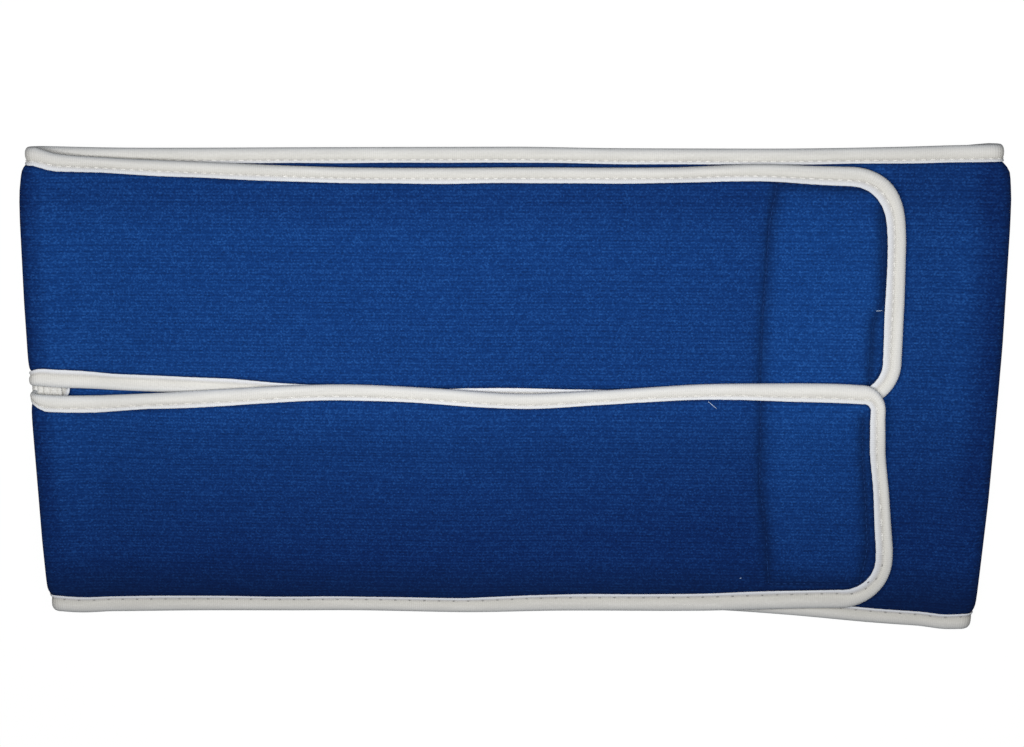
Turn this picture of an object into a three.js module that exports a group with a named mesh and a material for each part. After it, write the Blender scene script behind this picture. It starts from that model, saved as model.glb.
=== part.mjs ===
// Abdominal binder, lying folded flat as it is stored.
// One long band of foam laminate with knit faces is slit at one end into two straps.
// From the hidden free end it runs: flap, left under fold, bottom layer, right fold,
// middle layer, left fold, and last the two straps on top. A woven tape binds every edge.
// Units are millimetres, +X along the band, +Y across it, +Z up.
import * as THREE from "three";
import { mergeVertices } from "three/addons/utils/BufferGeometryUtils.js";

// Driving sizes
const FOLDED_LENGTH = 408; // over the outsides of the left and right folds
const BAND_HEIGHT = 203.2; // the band's nominal height, 8 inches
const STRAP_REACH = 366.9; // from the left fold to the strap ends
const FLAP_LENGTH = 165; // free end that is folded back inside
const CLOTH_THICKNESS = 3.4;
const LAYER_GAP = 0.3;
const LEFT_FOLD_RADIUS = 3.5; // of the cloth's middle, as are all fold radii
const RIGHT_FOLD_RADIUS = 3.6;
const FOLD_SWELL = 3.4; // how far the cloth bulges past its bound edges at a fold
const SWELL_RUN = 25; // length of cloth beside a fold that takes part in the swell
const UNDER_FOLD_INSET = 13; // the under fold stands back from the left fold
const FOLD_RAMP = 22; // length in which a raised fold comes down to its layer
const STEP_RAMP = 50; // length in which the upper layers come down past the flap
const STEP_CLEARANCE = 2; // between the flap's end and the start of that ramp

// Edge binding
const TAPE_WIDTH = 6.4;
const TAPE_WALL = 1.0;
const TAPE_CLEARANCE = 0.2; // between the tape and the cloth that it pinches
const TAPE_ROUND = 0.8; // how much the tape's outer edge is rounded
const SHOULDER = 2; // width in which the cloth swells up beside the tape

// Straps
const SLIT_PAST_FOLD = 3.4; // from the start of the left fold back to the slit's end
const UPPER_OUTER_CORNER = 24;
const UPPER_INNER_CORNER = 19;
const LOWER_INNER_CORNER = 11;
const LOWER_OUTER_CORNER = 22;
const FREE_END_CORNER = 14;
const UPPER_END_LEAN = 1.6; // how far that strap's end lies back where it curves in
const LOWER_END_LEAN = 6.5; // the lower strap's end slants back at its slit side
const LEAN_RUN = 45; // length of strap over which its end's slant is taken up

// The lower strap's slit side lies on the upper strap
const LAP_WIDTH = 14; // stretch that lies fully raised
const LAP_SLOPE = 24; // stretch that comes down beside it
const LAP_START = 27; // from the left fold to where the strap begins to climb
const LAP_CLIMB = 38;

// Hook patches
const PATCH_LENGTH = 45;
const PATCH_END_INSET = 11;
const PATCH_THICKNESS = 1.2;
const PATCH_CLEARANCE = 0.3;
const STITCH_DENT = 0.7; // dent over the stitches at the patch's inner end
const STITCH_DENT_RUN = 4;

// Segments of the faceted surface
const FOLD_STEPS = 7;
const UNDER_FOLD_STEPS = 6;
const RAMP_STEPS = 4;
const CORNER_STEPS = 4;
const SLIT_END_STEPS = 6;

// Where the band's edges run, layer by layer, from the left fold (-1) to the right fold (1).
// Edges are shares of half the band's height.
const FLAP_EDGES = [
  // along, top, bottom
  [-1.0, 0.9645, -0.9585],
  [1.0, 0.9565, -0.9435],
];
const BOTTOM_EDGES = [
  // along, top, bottom
  [-1.0, 0.9645, -0.9585],
  [0.4, 0.9715, -0.9465],
  [0.8, 0.9815, -0.9835],
  [1.0, 1.0115, -1.006],
];
const MIDDLE_EDGES = [
  // along, top, bottom
  [-1.0, 0.9965, -0.9815],
  [-0.8, 0.9905, -0.975],
  [-0.35, 0.9945, -0.9655],
  [0.0, 0.9965, -0.959],
  [0.2, 0.991, -0.9555],
  [0.43, 0.99, -0.9545],
  [0.61, 0.991, -0.9705],
  [0.81, 0.9985, -0.999],
  [0.95, 1.0075, -1.0105],
  [1.0, 1.0115, -1.006],
];
const UPPER_STRAP_EDGES = [
  // along, top, slit side
  [-1.0, 0.9965, -0.0005],
  [-0.95, 0.969, -0.0055],
  [-0.85, 0.954, -0.0135],
  [-0.7, 0.941, -0.0215],
  [-0.35, 0.917, -0.0445],
  [0.0, 0.9165, -0.058],
  [0.33, 0.917, -0.0655],
  [0.52, 0.9305, -0.064],
  [0.65, 0.924, -0.062],
  [0.84, 0.9175, -0.0585],
];
const LOWER_STRAP_EDGES = [
  // along, slit side, bottom
  [-1.0, -0.027, -0.9815],
  [-0.94, -0.035, -0.9905],
  [-0.88, -0.034, -0.988],
  [-0.7, -0.007, -0.977],
  [-0.48, 0.022, -0.9675],
  [-0.34, 0.031, -0.961],
  [-0.15, 0.018, -0.9615],
  [0.04, -0.005, -0.962],
  [0.2, 0.011, -0.955],
  [0.4, 0.0395, -0.947],
  [0.52, 0.046, -0.938],
  [0.7, 0.049, -0.9235],
  [0.84, 0.0385, -0.9215],
];

// How far the cloth bulges at the folds, across the band, in shares of FOLD_SWELL.
const FOLD_LINES = [
  // across, left, right
  [-1.0, -0.1, -0.4],
  [-0.925, -0.06, -0.34],
  [-0.895, 0.44, -0.25],
  [-0.67, 0.69, 0.13],
  [-0.45, 0.8, 0.48],
  [-0.18, 0.95, 0.72],
  [0.0, 1.0, 0.86],
  [0.2, 0.98, 1.0],
  [0.35, 1.0, 1.0],
  [0.7, 0.85, 1.0],
  [0.8, 0.72, 0.92],
  [0.905, 0.25, 0.6],
  [0.93, -0.3, -0.03],
  [1.0, -0.35, -0.04],
];

// How far each strap's end lies back from its furthest point, across the band, in shares
// of that end's lean.
const UPPER_END_LINE = [
  // across, share
  [-0.06, 0.2],
  [0.4, 0.2],
  [0.63, 0.55],
  [0.71, 1.0],
  [0.79, 0.75],
  [0.87, 0.0],
];
const LOWER_END_LINE = [
  // across, share
  [-0.75, 0.0],
  [-0.66, 0.0],
  [-0.58, 0.15],
  [-0.4, 0.46],
  [-0.24, 0.82],
  [-0.1, 1.0],
  [0.04, 0.97],
];

const CLOTH_BLUE = 0x17407e;
const TAPE_CREAM = 0xdedbd3;
const HOOK_BLUE = 0x12305f;

const MERGE_DISTANCE = 1e-3;
const ROUNDING = 1e-6;

const halfLength = FOLDED_LENGTH / 2;
const halfHeight = BAND_HEIGHT / 2;
const halfCloth = CLOTH_THICKNESS / 2;
const pitch = CLOTH_THICKNESS + LAYER_GAP;
const tapeInner = halfCloth - TAPE_WALL;
const pinched = tapeInner - TAPE_CLEARANCE;
const clothInset = TAPE_WALL + TAPE_CLEARANCE;
const pinchInset = TAPE_WIDTH + LAYER_GAP;
const fullInset = pinchInset + SHOULDER;

// Reads a table at a place along the band, with a smooth curve through its rows.
function readTable(table, along) {
  const last = table.length - 1;
  let row = 0;
  while (row < last - 1 && along > table[row + 1][0]) row += 1;
  const [start, end] = [table[row], table[row + 1]];
  const before = table[Math.max(row - 1, 0)];
  const after = table[Math.min(row + 2, last)];
  const run = end[0] - start[0];
  const t = THREE.MathUtils.clamp((along - start[0]) / run, 0, 1);
  const columns = [];
  for (let c = 1; c < start.length; c += 1) {
    const startSlope = ((end[c] - before[c]) / (end[0] - before[0])) * run;
    const endSlope = ((after[c] - start[c]) / (after[0] - start[0])) * run;
    const rise = end[c] - start[c];
    const bend = t * (1 - t) * ((1 - t) * (startSlope - rise) - t * (endSlope - rise));
    columns.push((start[c] + t * rise + bend) * halfHeight);
  }
  return columns;
}

// Reads the straight lines through a table's rows.
function readLine(table, at, column) {
  const last = table.length - 1;
  let row = 0;
  while (row < last - 1 && at > table[row + 1][0]) row += 1;
  const [start, end] = [table[row], table[row + 1]];
  const t = THREE.MathUtils.clamp((at - start[0]) / (end[0] - start[0]), 0, 1);
  return start[column] + (end[column] - start[column]) * t;
}

// The route of the cloth's middle in the XZ plane, from the free end to the strap ends.
const flapLevel = halfCloth + pitch;
const middleLow = halfCloth + pitch;
const middleHigh = middleLow + pitch;
const strapLow = middleLow + pitch;
const strapHigh = middleHigh + pitch;
const underRadius = pitch / 2;
const leftCentre = -halfLength + FOLD_SWELL + halfCloth + LEFT_FOLD_RADIUS;
const rightCentre = halfLength - FOLD_SWELL - halfCloth - RIGHT_FOLD_RADIUS;
const underCentre = -halfLength + UNDER_FOLD_INSET + halfCloth + underRadius;
const flapEnd = underCentre + FLAP_LENGTH - Math.PI * underRadius;
const stepStart = flapEnd + STEP_CLEARANCE;
const stepEnd = stepStart + STEP_RAMP;
const strapEnd = -halfLength + STRAP_REACH;
const lapStart = -halfLength + LAP_START;
const lapEnd = lapStart + LAP_CLIMB;
const slitEnd = leftCentre + SLIT_PAST_FOLD;

const route = [];

function addStation(x, z, layer) {
  route.push({ x, z, layer });
}

function addArc(x, z, radius, from, to, steps, layer) {
  for (let k = 1; k <= steps; k += 1) {
    const angle = from + ((to - from) * k) / steps;
    addStation(x + radius * Math.cos(angle), z + radius * Math.sin(angle), layer);
  }
}

function addRamp(fromX, fromZ, toX, toZ, layer) {
  for (let k = 1; k <= RAMP_STEPS; k += 1) {
    const t = k / RAMP_STEPS;
    const ease = (1 - Math.cos(Math.PI * t)) / 2;
    addStation(fromX + (toX - fromX) * t, fromZ + (toZ - fromZ) * ease, layer);
  }
}

function addFlat(fromX, toX, z, steps, layer) {
  for (let k = 1; k <= steps; k += 1) {
    addStation(fromX + ((toX - fromX) * k) / steps, z, layer);
  }
}

const quarter = Math.PI / 2;
addStation(flapEnd, flapLevel, "flap");
addFlat(flapEnd, underCentre, flapLevel, 3, "flap");
addArc(underCentre, halfCloth + underRadius, underRadius, quarter, 3 * quarter, UNDER_FOLD_STEPS, "bottom");
addFlat(underCentre, rightCentre - SWELL_RUN, halfCloth, 5, "bottom");
addFlat(rightCentre - SWELL_RUN, rightCentre, halfCloth, 2, "bottom");
const rightTop = halfCloth + 2 * RIGHT_FOLD_RADIUS;
addArc(rightCentre, halfCloth + RIGHT_FOLD_RADIUS, RIGHT_FOLD_RADIUS, -quarter, quarter, FOLD_STEPS, "middle");
addRamp(rightCentre, rightTop, rightCentre - FOLD_RAMP, middleLow, "middle");
addFlat(rightCentre - FOLD_RAMP, stepEnd, middleLow, 4, "middle");
addRamp(stepEnd, middleLow, stepStart, middleHigh, "middle");
addFlat(stepStart, leftCentre + SWELL_RUN, middleHigh, 3, "middle");
addFlat(leftCentre + SWELL_RUN, slitEnd + fullInset, middleHigh, 1, "middle");
addFlat(slitEnd + fullInset, leftCentre, middleHigh, 1, "middle");
const leftTop = middleHigh + 2 * LEFT_FOLD_RADIUS;
addArc(leftCentre, middleHigh + LEFT_FOLD_RADIUS, LEFT_FOLD_RADIUS, 3 * quarter, quarter, FOLD_STEPS, "strap");
addRamp(leftCentre, leftTop, leftCentre + FOLD_RAMP, strapHigh, "strap");
addFlat(leftCentre + FOLD_RAMP, lapEnd, strapHigh, 3, "strap");
addFlat(lapEnd, stepStart, strapHigh, 4, "strap");
addRamp(stepStart, strapHigh, stepEnd, strapLow, "strap");
addFlat(stepEnd, strapEnd, strapLow, 3, "strap");

let routeLength = 0;
route.forEach((station, k) => {
  if (k > 0) routeLength += Math.hypot(station.x - route[k - 1].x, station.z - route[k - 1].z);
  station.s = routeLength;
});
route.forEach((station, k) => {
  const before = route[Math.max(k - 1, 0)];
  const after = route[Math.min(k + 1, route.length - 1)];
  const run = new THREE.Vector2(after.x - before.x, after.z - before.z).normalize();
  station.outX = -run.y;
  station.outZ = run.x;
});

// Swell beside the left and right folds, which only the layers that turn there take part in.
const LEFT_FOLD = ["middle", "strap"];
const RIGHT_FOLD = ["bottom", "middle"];
function swellShare(station, layers, side, centre) {
  if (!layers.includes(station.layer)) return 0;
  const past = THREE.MathUtils.clamp(1 - (side * (centre - station.x)) / SWELL_RUN, 0, 1);
  return (1 - Math.cos(Math.PI * past)) / 2;
}
route.forEach((station) => {
  station.left = swellShare(station, LEFT_FOLD, -1, leftCentre);
  station.right = swellShare(station, RIGHT_FOLD, 1, rightCentre);
});

function stationAt(s) {
  let k = 1;
  while (k < route.length - 1 && route[k].s < s) k += 1;
  const [a, b] = [route[k - 1], route[k]];
  const t = (s - a.s) / (b.s - a.s);
  const mix = (key) => a[key] + (b[key] - a[key]) * t;
  return {
    s,
    x: mix("x"),
    z: mix("z"),
    outX: mix("outX"),
    outZ: mix("outZ"),
    left: mix("left"),
    right: mix("right"),
    layer: t > 0 ? b.layer : a.layer,
  };
}

function alongShare(station) {
  const fold = station.x < 0 ? -leftCentre : rightCentre;
  return THREE.MathUtils.clamp(station.x / fold, -1, 1);
}

const slitTopAtFold = readTable(UPPER_STRAP_EDGES, -1)[1];
const slitBottomAtFold = readTable(LOWER_STRAP_EDGES, -1)[0];
const slitMiddle = (slitTopAtFold + slitBottomAtFold) / 2;
const slitRadius = (slitTopAtFold - slitBottomAtFold) / 2;

function edgesAt(station) {
  const along = alongShare(station);
  if (station.layer === "strap") {
    const [top, slitTop] = readTable(UPPER_STRAP_EDGES, along);
    const [slitBottom, bottom] = readTable(LOWER_STRAP_EDGES, along);
    return { top, slitTop, slitBottom, bottom };
  }
  const tables = { flap: FLAP_EDGES, bottom: BOTTOM_EDGES, middle: MIDDLE_EDGES };
  const [top, bottom] = readTable(tables[station.layer], along);
  return { top, slitTop: slitTopAtFold, slitBottom: slitBottomAtFold, bottom };
}

const cornerShoulder = UPPER_OUTER_CORNER + SHOULDER;
const lapFoot = LAP_WIDTH + LAP_SLOPE;
const routeEnd = routeLength;
const strapStart = route.find((station) => station.layer === "strap").s;
const slitTip = route.find((station) => station.x === leftCentre && station.layer === "middle").s
  - SLIT_PAST_FOLD;

function climb(value, from, to) {
  const t = THREE.MathUtils.clamp((value - from) / (to - from), 0, 1);
  return (1 - Math.cos(Math.PI * t)) / 2;
}

// Places a point of the flat band: s along the route, y across, n out of the cloth's middle.
function place(s, y, n, strap) {
  const station = stationAt(s);
  const edges = edgesAt(station);
  const across = y / halfHeight;
  const swell = FOLD_SWELL
    * (station.right * readLine(FOLD_LINES, across, 2) - station.left * readLine(FOLD_LINES, across, 1));
  const onStrap = strap !== "body" && s >= strapStart;
  let lift = 0;
  let lean = 0;
  if (onStrap) {
    const [endLine, endLean] = strap === "upper"
      ? [UPPER_END_LINE, UPPER_END_LEAN]
      : [LOWER_END_LINE, LOWER_END_LEAN];
    const nearEnd = THREE.MathUtils.clamp(1 - (routeEnd - s) / LEAN_RUN, 0, 1);
    lean = endLean * readLine(endLine, across, 1) * nearEnd;
  }
  if (onStrap && strap === "lower") {
    const depth = edges.slitBottom - y;
    const lap = THREE.MathUtils.clamp((lapFoot - depth) / LAP_SLOPE, 0, 1);
    lift = pitch * lap * climb(station.x, lapStart, lapEnd);
  }
  return [station.x + swell - lean + n * station.outX, y, station.z + lift + n * station.outZ];
}

// Inset from a straight edge at a distance from the band's end, round a corner of the given
// radius. The arc is the same polygon on the cloth and on the tape that pinches it.
function cornerInset(distance, radius, inset) {
  if (radius <= inset) return inset;
  if (distance >= radius) return inset;
  if (distance <= inset) return radius;
  const inner = radius - inset;
  const turn = (k) => (k * quarter) / CORNER_STEPS;
  for (let k = 1; k <= CORNER_STEPS; k += 1) {
    const near = radius - inner * Math.sin(turn(k));
    const far = radius - inner * Math.sin(turn(k - 1));
    if (distance >= near - ROUNDING) {
      const t = (far - distance) / (far - near);
      const start = radius - inner * Math.cos(turn(k - 1));
      const end = radius - inner * Math.cos(turn(k));
      return start + (end - start) * t;
    }
  }
  return radius;
}

// Half opening of a line that runs round the slit's end at a distance from the slit's edge.
function slitSpread(s, distance) {
  const radius = slitRadius + distance;
  const toCentre = slitTip + slitRadius - s;
  if (toCentre >= radius) return 0;
  if (toCentre <= 0) return radius;
  const turn = (k) => (2 * k * quarter) / SLIT_END_STEPS;
  for (let k = 1; k <= SLIT_END_STEPS / 2; k += 1) {
    const near = radius * Math.cos(turn(k));
    const far = radius * Math.cos(turn(k - 1));
    if (toCentre >= near - ROUNDING) {
      const t = (far - toCentre) / (far - near);
      return radius * (Math.sin(turn(k - 1)) + (Math.sin(turn(k)) - Math.sin(turn(k - 1))) * t);
    }
  }
  return radius;
}

const CORNERS = {
  upper: { outer: UPPER_OUTER_CORNER, inner: UPPER_INNER_CORNER },
  lower: { outer: LOWER_OUTER_CORNER, inner: LOWER_INNER_CORNER },
};

// Places along the route where one half of the cloth has a column of points.
function columnsOf(strap) {
  const wanted = new Set();
  const cornerColumns = (radius) => {
    const columns = [];
    for (let k = 0; k <= CORNER_STEPS; k += 1) {
      columns.push(radius - (radius - clothInset) * Math.sin((k * quarter) / CORNER_STEPS));
    }
    return columns;
  };
  for (const distance of [...cornerColumns(FREE_END_CORNER), pinchInset, fullInset]) {
    wanted.add(distance);
  }
  const { outer, inner } = CORNERS[strap];
  const endColumns = [...cornerColumns(outer), ...cornerColumns(inner), pinchInset, fullInset];
  const patchFar = PATCH_END_INSET + PATCH_LENGTH + PATCH_CLEARANCE;
  endColumns.push(PATCH_END_INSET - PATCH_CLEARANCE, patchFar);
  endColumns.push(patchFar + STITCH_DENT_RUN, patchFar - STITCH_DENT_RUN);
  for (const distance of endColumns) wanted.add(routeEnd - distance);
  wanted.add(slitTip - fullInset);
  wanted.add(slitTip - pinchInset);
  for (let k = 0; k <= SLIT_END_STEPS / 2; k += 1) {
    const turn = (2 * k * quarter) / SLIT_END_STEPS;
    wanted.add(slitTip + slitRadius - (slitRadius + pinchInset) * Math.cos(turn));
    wanted.add(slitTip + slitRadius - (slitRadius + clothInset) * Math.cos(turn));
  }
  const columns = [...wanted];
  const bends = route.filter((station) => station.s > clothInset && station.s < routeEnd - clothInset);
  for (const { s } of bends) {
    const nearest = Math.min(...columns.map((column) => Math.abs(column - s)));
    if (nearest > LAYER_GAP) columns.push(s);
  }
  columns.sort((a, b) => a - b);
  return columns.filter((s, k) => k === 0 || s - columns[k - 1] > MERGE_DISTANCE);
}

const halves = { upper: columnsOf("upper"), lower: columnsOf("lower") };

// The lines of one half at a column, from the outer edge to the slit.
function linesAt(s, strap) {
  const station = stationAt(s);
  const edges = edgesAt(station);
  const side = strap === "upper" ? 1 : -1;
  const outerEdge = strap === "upper" ? edges.top : edges.bottom;
  const slitEdge = strap === "upper" ? edges.slitTop : edges.slitBottom;
  const { outer, inner } = CORNERS[strap];
  const toEnd = routeEnd - s;
  const fromOuter = (inset) => {
    const atFree = cornerInset(s, FREE_END_CORNER, inset);
    return outerEdge - side * Math.max(atFree, cornerInset(toEnd, outer, inset));
  };
  const fromSlit = (inset) => {
    if (station.layer !== "strap") return slitMiddle + side * slitSpread(s, inset);
    return slitEdge + side * cornerInset(toEnd, inner, inset);
  };
  const endDistance = Math.min(s, toEnd);
  const endFull = THREE.MathUtils.clamp((endDistance - pinchInset) / SHOULDER, 0, 1);
  const swollen = pinched + (halfCloth - pinched) * endFull;
  const toTip = slitTip - s;
  const slitFull = THREE.MathUtils.clamp((toTip - pinchInset) / SHOULDER, 0, 1);
  const slitPinch = Math.min(swollen, pinched + (halfCloth - pinched) * slitFull);
  const nearSlit = toTip <= fullInset + ROUNDING;
  const lines = [
    { y: fromOuter(clothInset), half: pinched, edge: true },
    { y: fromOuter(pinchInset), half: pinched, edge: true },
    { y: fromOuter(fullInset), half: swollen },
  ];
  if (strap === "upper") {
    lines.push({ y: outerEdge - cornerShoulder, half: swollen });
  } else {
    lines.push({ y: slitEdge - lapFoot, half: swollen });
    lines.push({ y: nearSlit ? slitEdge - LAP_WIDTH : slitMiddle, half: swollen });
  }
  lines.push({ y: fromSlit(fullInset), half: swollen });
  lines.push({ y: fromSlit(pinchInset), half: slitPinch, edge: true });
  lines.push({ y: fromSlit(clothInset), half: slitPinch, edge: true });
  return lines;
}

// Height of the cloth's upper and lower face over its middle at a point of a line.
const patchStart = PATCH_END_INSET;
const patchEnd = PATCH_END_INSET + PATCH_LENGTH;
function facesAt(s, line) {
  let top = line.half;
  let under = -line.half;
  const toEnd = routeEnd - s;
  const pastStart = toEnd > patchStart - PATCH_CLEARANCE - ROUNDING;
  const beforeEnd = toEnd < patchEnd + PATCH_CLEARANCE + ROUNDING;
  if (!line.edge && pastStart && beforeEnd) under = -(halfCloth - PATCH_THICKNESS - PATCH_CLEARANCE);
  if (!line.edge && Math.abs(toEnd - patchEnd - PATCH_CLEARANCE) < ROUNDING) top -= STITCH_DENT;
  return { top, under };
}

function solidFrom(triangles) {
  const positions = new Float32Array(triangles.flat(2));
  const geometry = new THREE.BufferGeometry();
  geometry.setAttribute("position", new THREE.BufferAttribute(positions, 3));
  const merged = mergeVertices(geometry, MERGE_DISTANCE);
  const kept = [];
  const index = merged.getIndex();
  for (let k = 0; k < index.count; k += 3) {
    const [a, b, c] = [index.getX(k), index.getX(k + 1), index.getX(k + 2)];
    if (a !== b && b !== c && c !== a) kept.push(a, b, c);
  }
  const corner = (k) => new THREE.Vector3().fromBufferAttribute(merged.getAttribute("position"), k);
  let volume = 0;
  for (let k = 0; k < kept.length; k += 3) {
    const [a, b, c] = [corner(kept[k]), corner(kept[k + 1]), corner(kept[k + 2])];
    volume += a.dot(b.cross(c));
  }
  if (volume < 0) kept.reverse();
  merged.setIndex(kept);
  merged.computeVertexNormals();
  return merged;
}

function quad(triangles, a, b, c, d) {
  triangles.push([a, b, c], [a, c, d]);
}

function makePanel() {
  const triangles = [];
  for (const strap of ["upper", "lower"]) {
    const columns = halves[strap].map((s) => {
      const lines = linesAt(s, strap);
      return {
        s,
        top: lines.map((line) => place(s, line.y, facesAt(s, line).top, strap)),
        under: lines.map((line) => place(s, line.y, facesAt(s, line).under, strap)),
      };
    });
    const count = columns[0].top.length;
    const flip = strap === "upper";
    const face = (a, b, c, d) => (flip ? quad(triangles, a, b, c, d) : quad(triangles, d, c, b, a));
    for (let k = 1; k < columns.length; k += 1) {
      const [here, next] = [columns[k - 1], columns[k]];
      for (let j = 1; j < count; j += 1) {
        face(here.top[j - 1], here.top[j], next.top[j], next.top[j - 1]);
        face(here.under[j - 1], next.under[j - 1], next.under[j], here.under[j]);
      }
      face(here.top[0], next.top[0], next.under[0], here.under[0]);
      const slitOpen = next.s > slitTip - clothInset + MERGE_DISTANCE;
      const last = count - 1;
      if (slitOpen) face(here.top[last], here.under[last], next.under[last], next.top[last]);
    }
    const first = columns[0];
    const end = columns[columns.length - 1];
    for (let j = 1; j < count; j += 1) {
      face(first.top[j - 1], first.under[j - 1], first.under[j], first.top[j]);
      face(end.top[j - 1], end.top[j], end.under[j], end.under[j - 1]);
    }
  }
  return solidFrom(triangles);
}

// The tape's folded section: d from the band's edge inwards, n over the cloth's middle.
const tapeSection = [
  [TAPE_WIDTH, halfCloth],
  [TAPE_ROUND, halfCloth],
  [0, halfCloth - TAPE_ROUND],
  [0, TAPE_ROUND - halfCloth],
  [TAPE_ROUND, -halfCloth],
  [TAPE_WIDTH, -halfCloth],
  [TAPE_WIDTH, -tapeInner],
  [TAPE_WALL, -tapeInner],
  [TAPE_WALL, tapeInner],
  [TAPE_WIDTH, tapeInner],
];

function makeBinding() {
  const rings = [];
  const addRing = (strap, spot) => {
    rings.push(tapeSection.map(([d, n]) => {
      const [s, y] = spot(d);
      return place(s, y, n, strap);
    }));
  };
  const edgeAt = (s, name) => edgesAt(stationAt(s))[name];
  const alongEdge = (strap, name, side, from, to) => {
    const inside = halves[strap].filter((s) => s > Math.min(from, to) && s < Math.max(from, to));
    if (from > to) inside.reverse();
    for (const s of inside) addRing(strap, (d) => [s, edgeAt(s, name) - side * d]);
  };
  // A corner at either end of the band: away is 1 at the strap ends and -1 at the free end.
  const roundCorner = (strap, name, side, radius, away, fromTurn, toTurn) => {
    for (let k = 0; k <= CORNER_STEPS; k += 1) {
      const turn = fromTurn + ((toTurn - fromTurn) * k) / CORNER_STEPS;
      addRing(strap, (d) => {
        const toEnd = radius - (radius - d) * Math.sin(turn);
        const s = away > 0 ? routeEnd - toEnd : toEnd;
        return [s, edgeAt(s, name) - side * (radius - (radius - d) * Math.cos(turn))];
      });
    }
  };
  const { upper, lower } = CORNERS;
  alongEdge("upper", "top", 1, FREE_END_CORNER, routeEnd - upper.outer);
  roundCorner("upper", "top", 1, upper.outer, 1, 0, quarter);
  roundCorner("upper", "slitTop", -1, upper.inner, 1, quarter, 0);
  const slitStraight = slitTip + slitRadius;
  alongEdge("upper", "slitTop", -1, routeEnd - upper.inner, slitStraight);
  for (let k = 0; k <= SLIT_END_STEPS; k += 1) {
    const turn = quarter - (2 * k * quarter) / SLIT_END_STEPS;
    addRing("body", (d) => {
      const radius = slitRadius + d;
      return [slitStraight - radius * Math.cos(turn), slitMiddle + radius * Math.sin(turn)];
    });
  }
  alongEdge("lower", "slitBottom", 1, slitStraight, routeEnd - lower.inner);
  roundCorner("lower", "slitBottom", 1, lower.inner, 1, 0, quarter);
  for (const depth of [LAP_WIDTH, lapFoot]) {
    addRing("lower", (d) => [routeEnd - d, edgeAt(routeEnd - d, "slitBottom") - depth]);
  }
  roundCorner("lower", "bottom", -1, lower.outer, 1, quarter, 0);
  alongEdge("lower", "bottom", -1, routeEnd - lower.outer, FREE_END_CORNER);
  roundCorner("lower", "bottom", -1, FREE_END_CORNER, -1, 0, quarter);
  roundCorner("upper", "top", 1, FREE_END_CORNER, -1, quarter, 0);
  const triangles = [];
  rings.forEach((ring, k) => {
    const next = rings[(k + 1) % rings.length];
    ring.forEach((point, j) => {
      const j2 = (j + 1) % ring.length;
      quad(triangles, point, ring[j2], next[j2], next[j]);
    });
  });
  return solidFrom(triangles);
}

// A hook patch lies in the recess under a strap's end, level with the strap's underside.
function makePatch(strap) {
  const side = strap === "upper" ? 1 : -1;
  const [low, high] = [-halfCloth, -halfCloth + PATCH_THICKNESS];
  const columns = [routeEnd - patchEnd, routeEnd - patchStart].map((s) => {
    const lines = linesAt(s, strap).filter((line) => !line.edge);
    const places = lines.map((line, j) => {
      if (j === 0) return line.y - side * PATCH_CLEARANCE;
      if (j === lines.length - 1) return line.y + side * PATCH_CLEARANCE;
      return line.y;
    });
    return {
      low: places.map((y) => place(s, y, low, strap)),
      high: places.map((y) => place(s, y, high, strap)),
    };
  });
  const triangles = [];
  const [a, b] = columns;
  const last = a.low.length - 1;
  for (let j = 1; j <= last; j += 1) {
    quad(triangles, a.high[j - 1], a.high[j], b.high[j], b.high[j - 1]);
    quad(triangles, a.low[j - 1], b.low[j - 1], b.low[j], a.low[j]);
    quad(triangles, a.high[j - 1], a.low[j - 1], a.low[j], a.high[j]);
    quad(triangles, b.high[j - 1], b.high[j], b.low[j], b.low[j - 1]);
  }
  quad(triangles, a.high[0], b.high[0], b.low[0], a.low[0]);
  quad(triangles, a.high[last], a.low[last], b.low[last], b.high[last]);
  return solidFrom(triangles);
}

function named(name, geometry, color, roughness) {
  const material = new THREE.MeshStandardMaterial({ color, roughness, metalness: 0 });
  const mesh = new THREE.Mesh(geometry, material);
  mesh.name = name;
  return mesh;
}

const binder = new THREE.Group();
binder.add(named("panel", makePanel(), CLOTH_BLUE, 0.95));
binder.add(named("edge_binding", makeBinding(), TAPE_CREAM, 0.85));
binder.add(named("hook_patch_upper", makePatch("upper"), HOOK_BLUE, 0.8));
binder.add(named("hook_patch_lower", makePatch("lower"), HOOK_BLUE, 0.8));

export default binder;
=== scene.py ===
import math

import bpy
import numpy as np
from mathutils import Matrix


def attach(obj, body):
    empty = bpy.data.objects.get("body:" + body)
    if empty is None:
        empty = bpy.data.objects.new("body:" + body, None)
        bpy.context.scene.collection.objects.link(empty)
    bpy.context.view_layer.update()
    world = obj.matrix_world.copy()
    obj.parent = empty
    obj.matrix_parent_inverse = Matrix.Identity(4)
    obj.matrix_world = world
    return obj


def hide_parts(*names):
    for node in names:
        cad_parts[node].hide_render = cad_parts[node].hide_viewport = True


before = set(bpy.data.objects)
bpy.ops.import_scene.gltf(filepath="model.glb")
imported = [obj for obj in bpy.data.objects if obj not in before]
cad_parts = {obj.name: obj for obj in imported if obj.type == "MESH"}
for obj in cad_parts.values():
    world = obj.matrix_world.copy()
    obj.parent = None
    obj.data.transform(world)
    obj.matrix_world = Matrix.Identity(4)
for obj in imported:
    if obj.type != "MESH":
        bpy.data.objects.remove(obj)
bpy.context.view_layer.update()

# Camera, studio light and floor.
# The camera hangs over the band, a little behind its top edge, and looks down as in the photograph.
# One soft lamp hangs over the band, pale surroundings fill the shadows, and the floor glows white.
bpy.ops.object.camera_add(
    location=(0.0408, 0.13887, 0.64531),
    rotation=(math.radians(-11.696), math.radians(3.514), math.radians(-0.087)),
)
camera = bpy.context.object
camera.name = "camera"
camera.data.sensor_width = 36
camera.data.lens = 54.503
bpy.context.scene.camera = camera
bpy.context.scene.view_settings.view_transform = "Standard"

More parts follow.
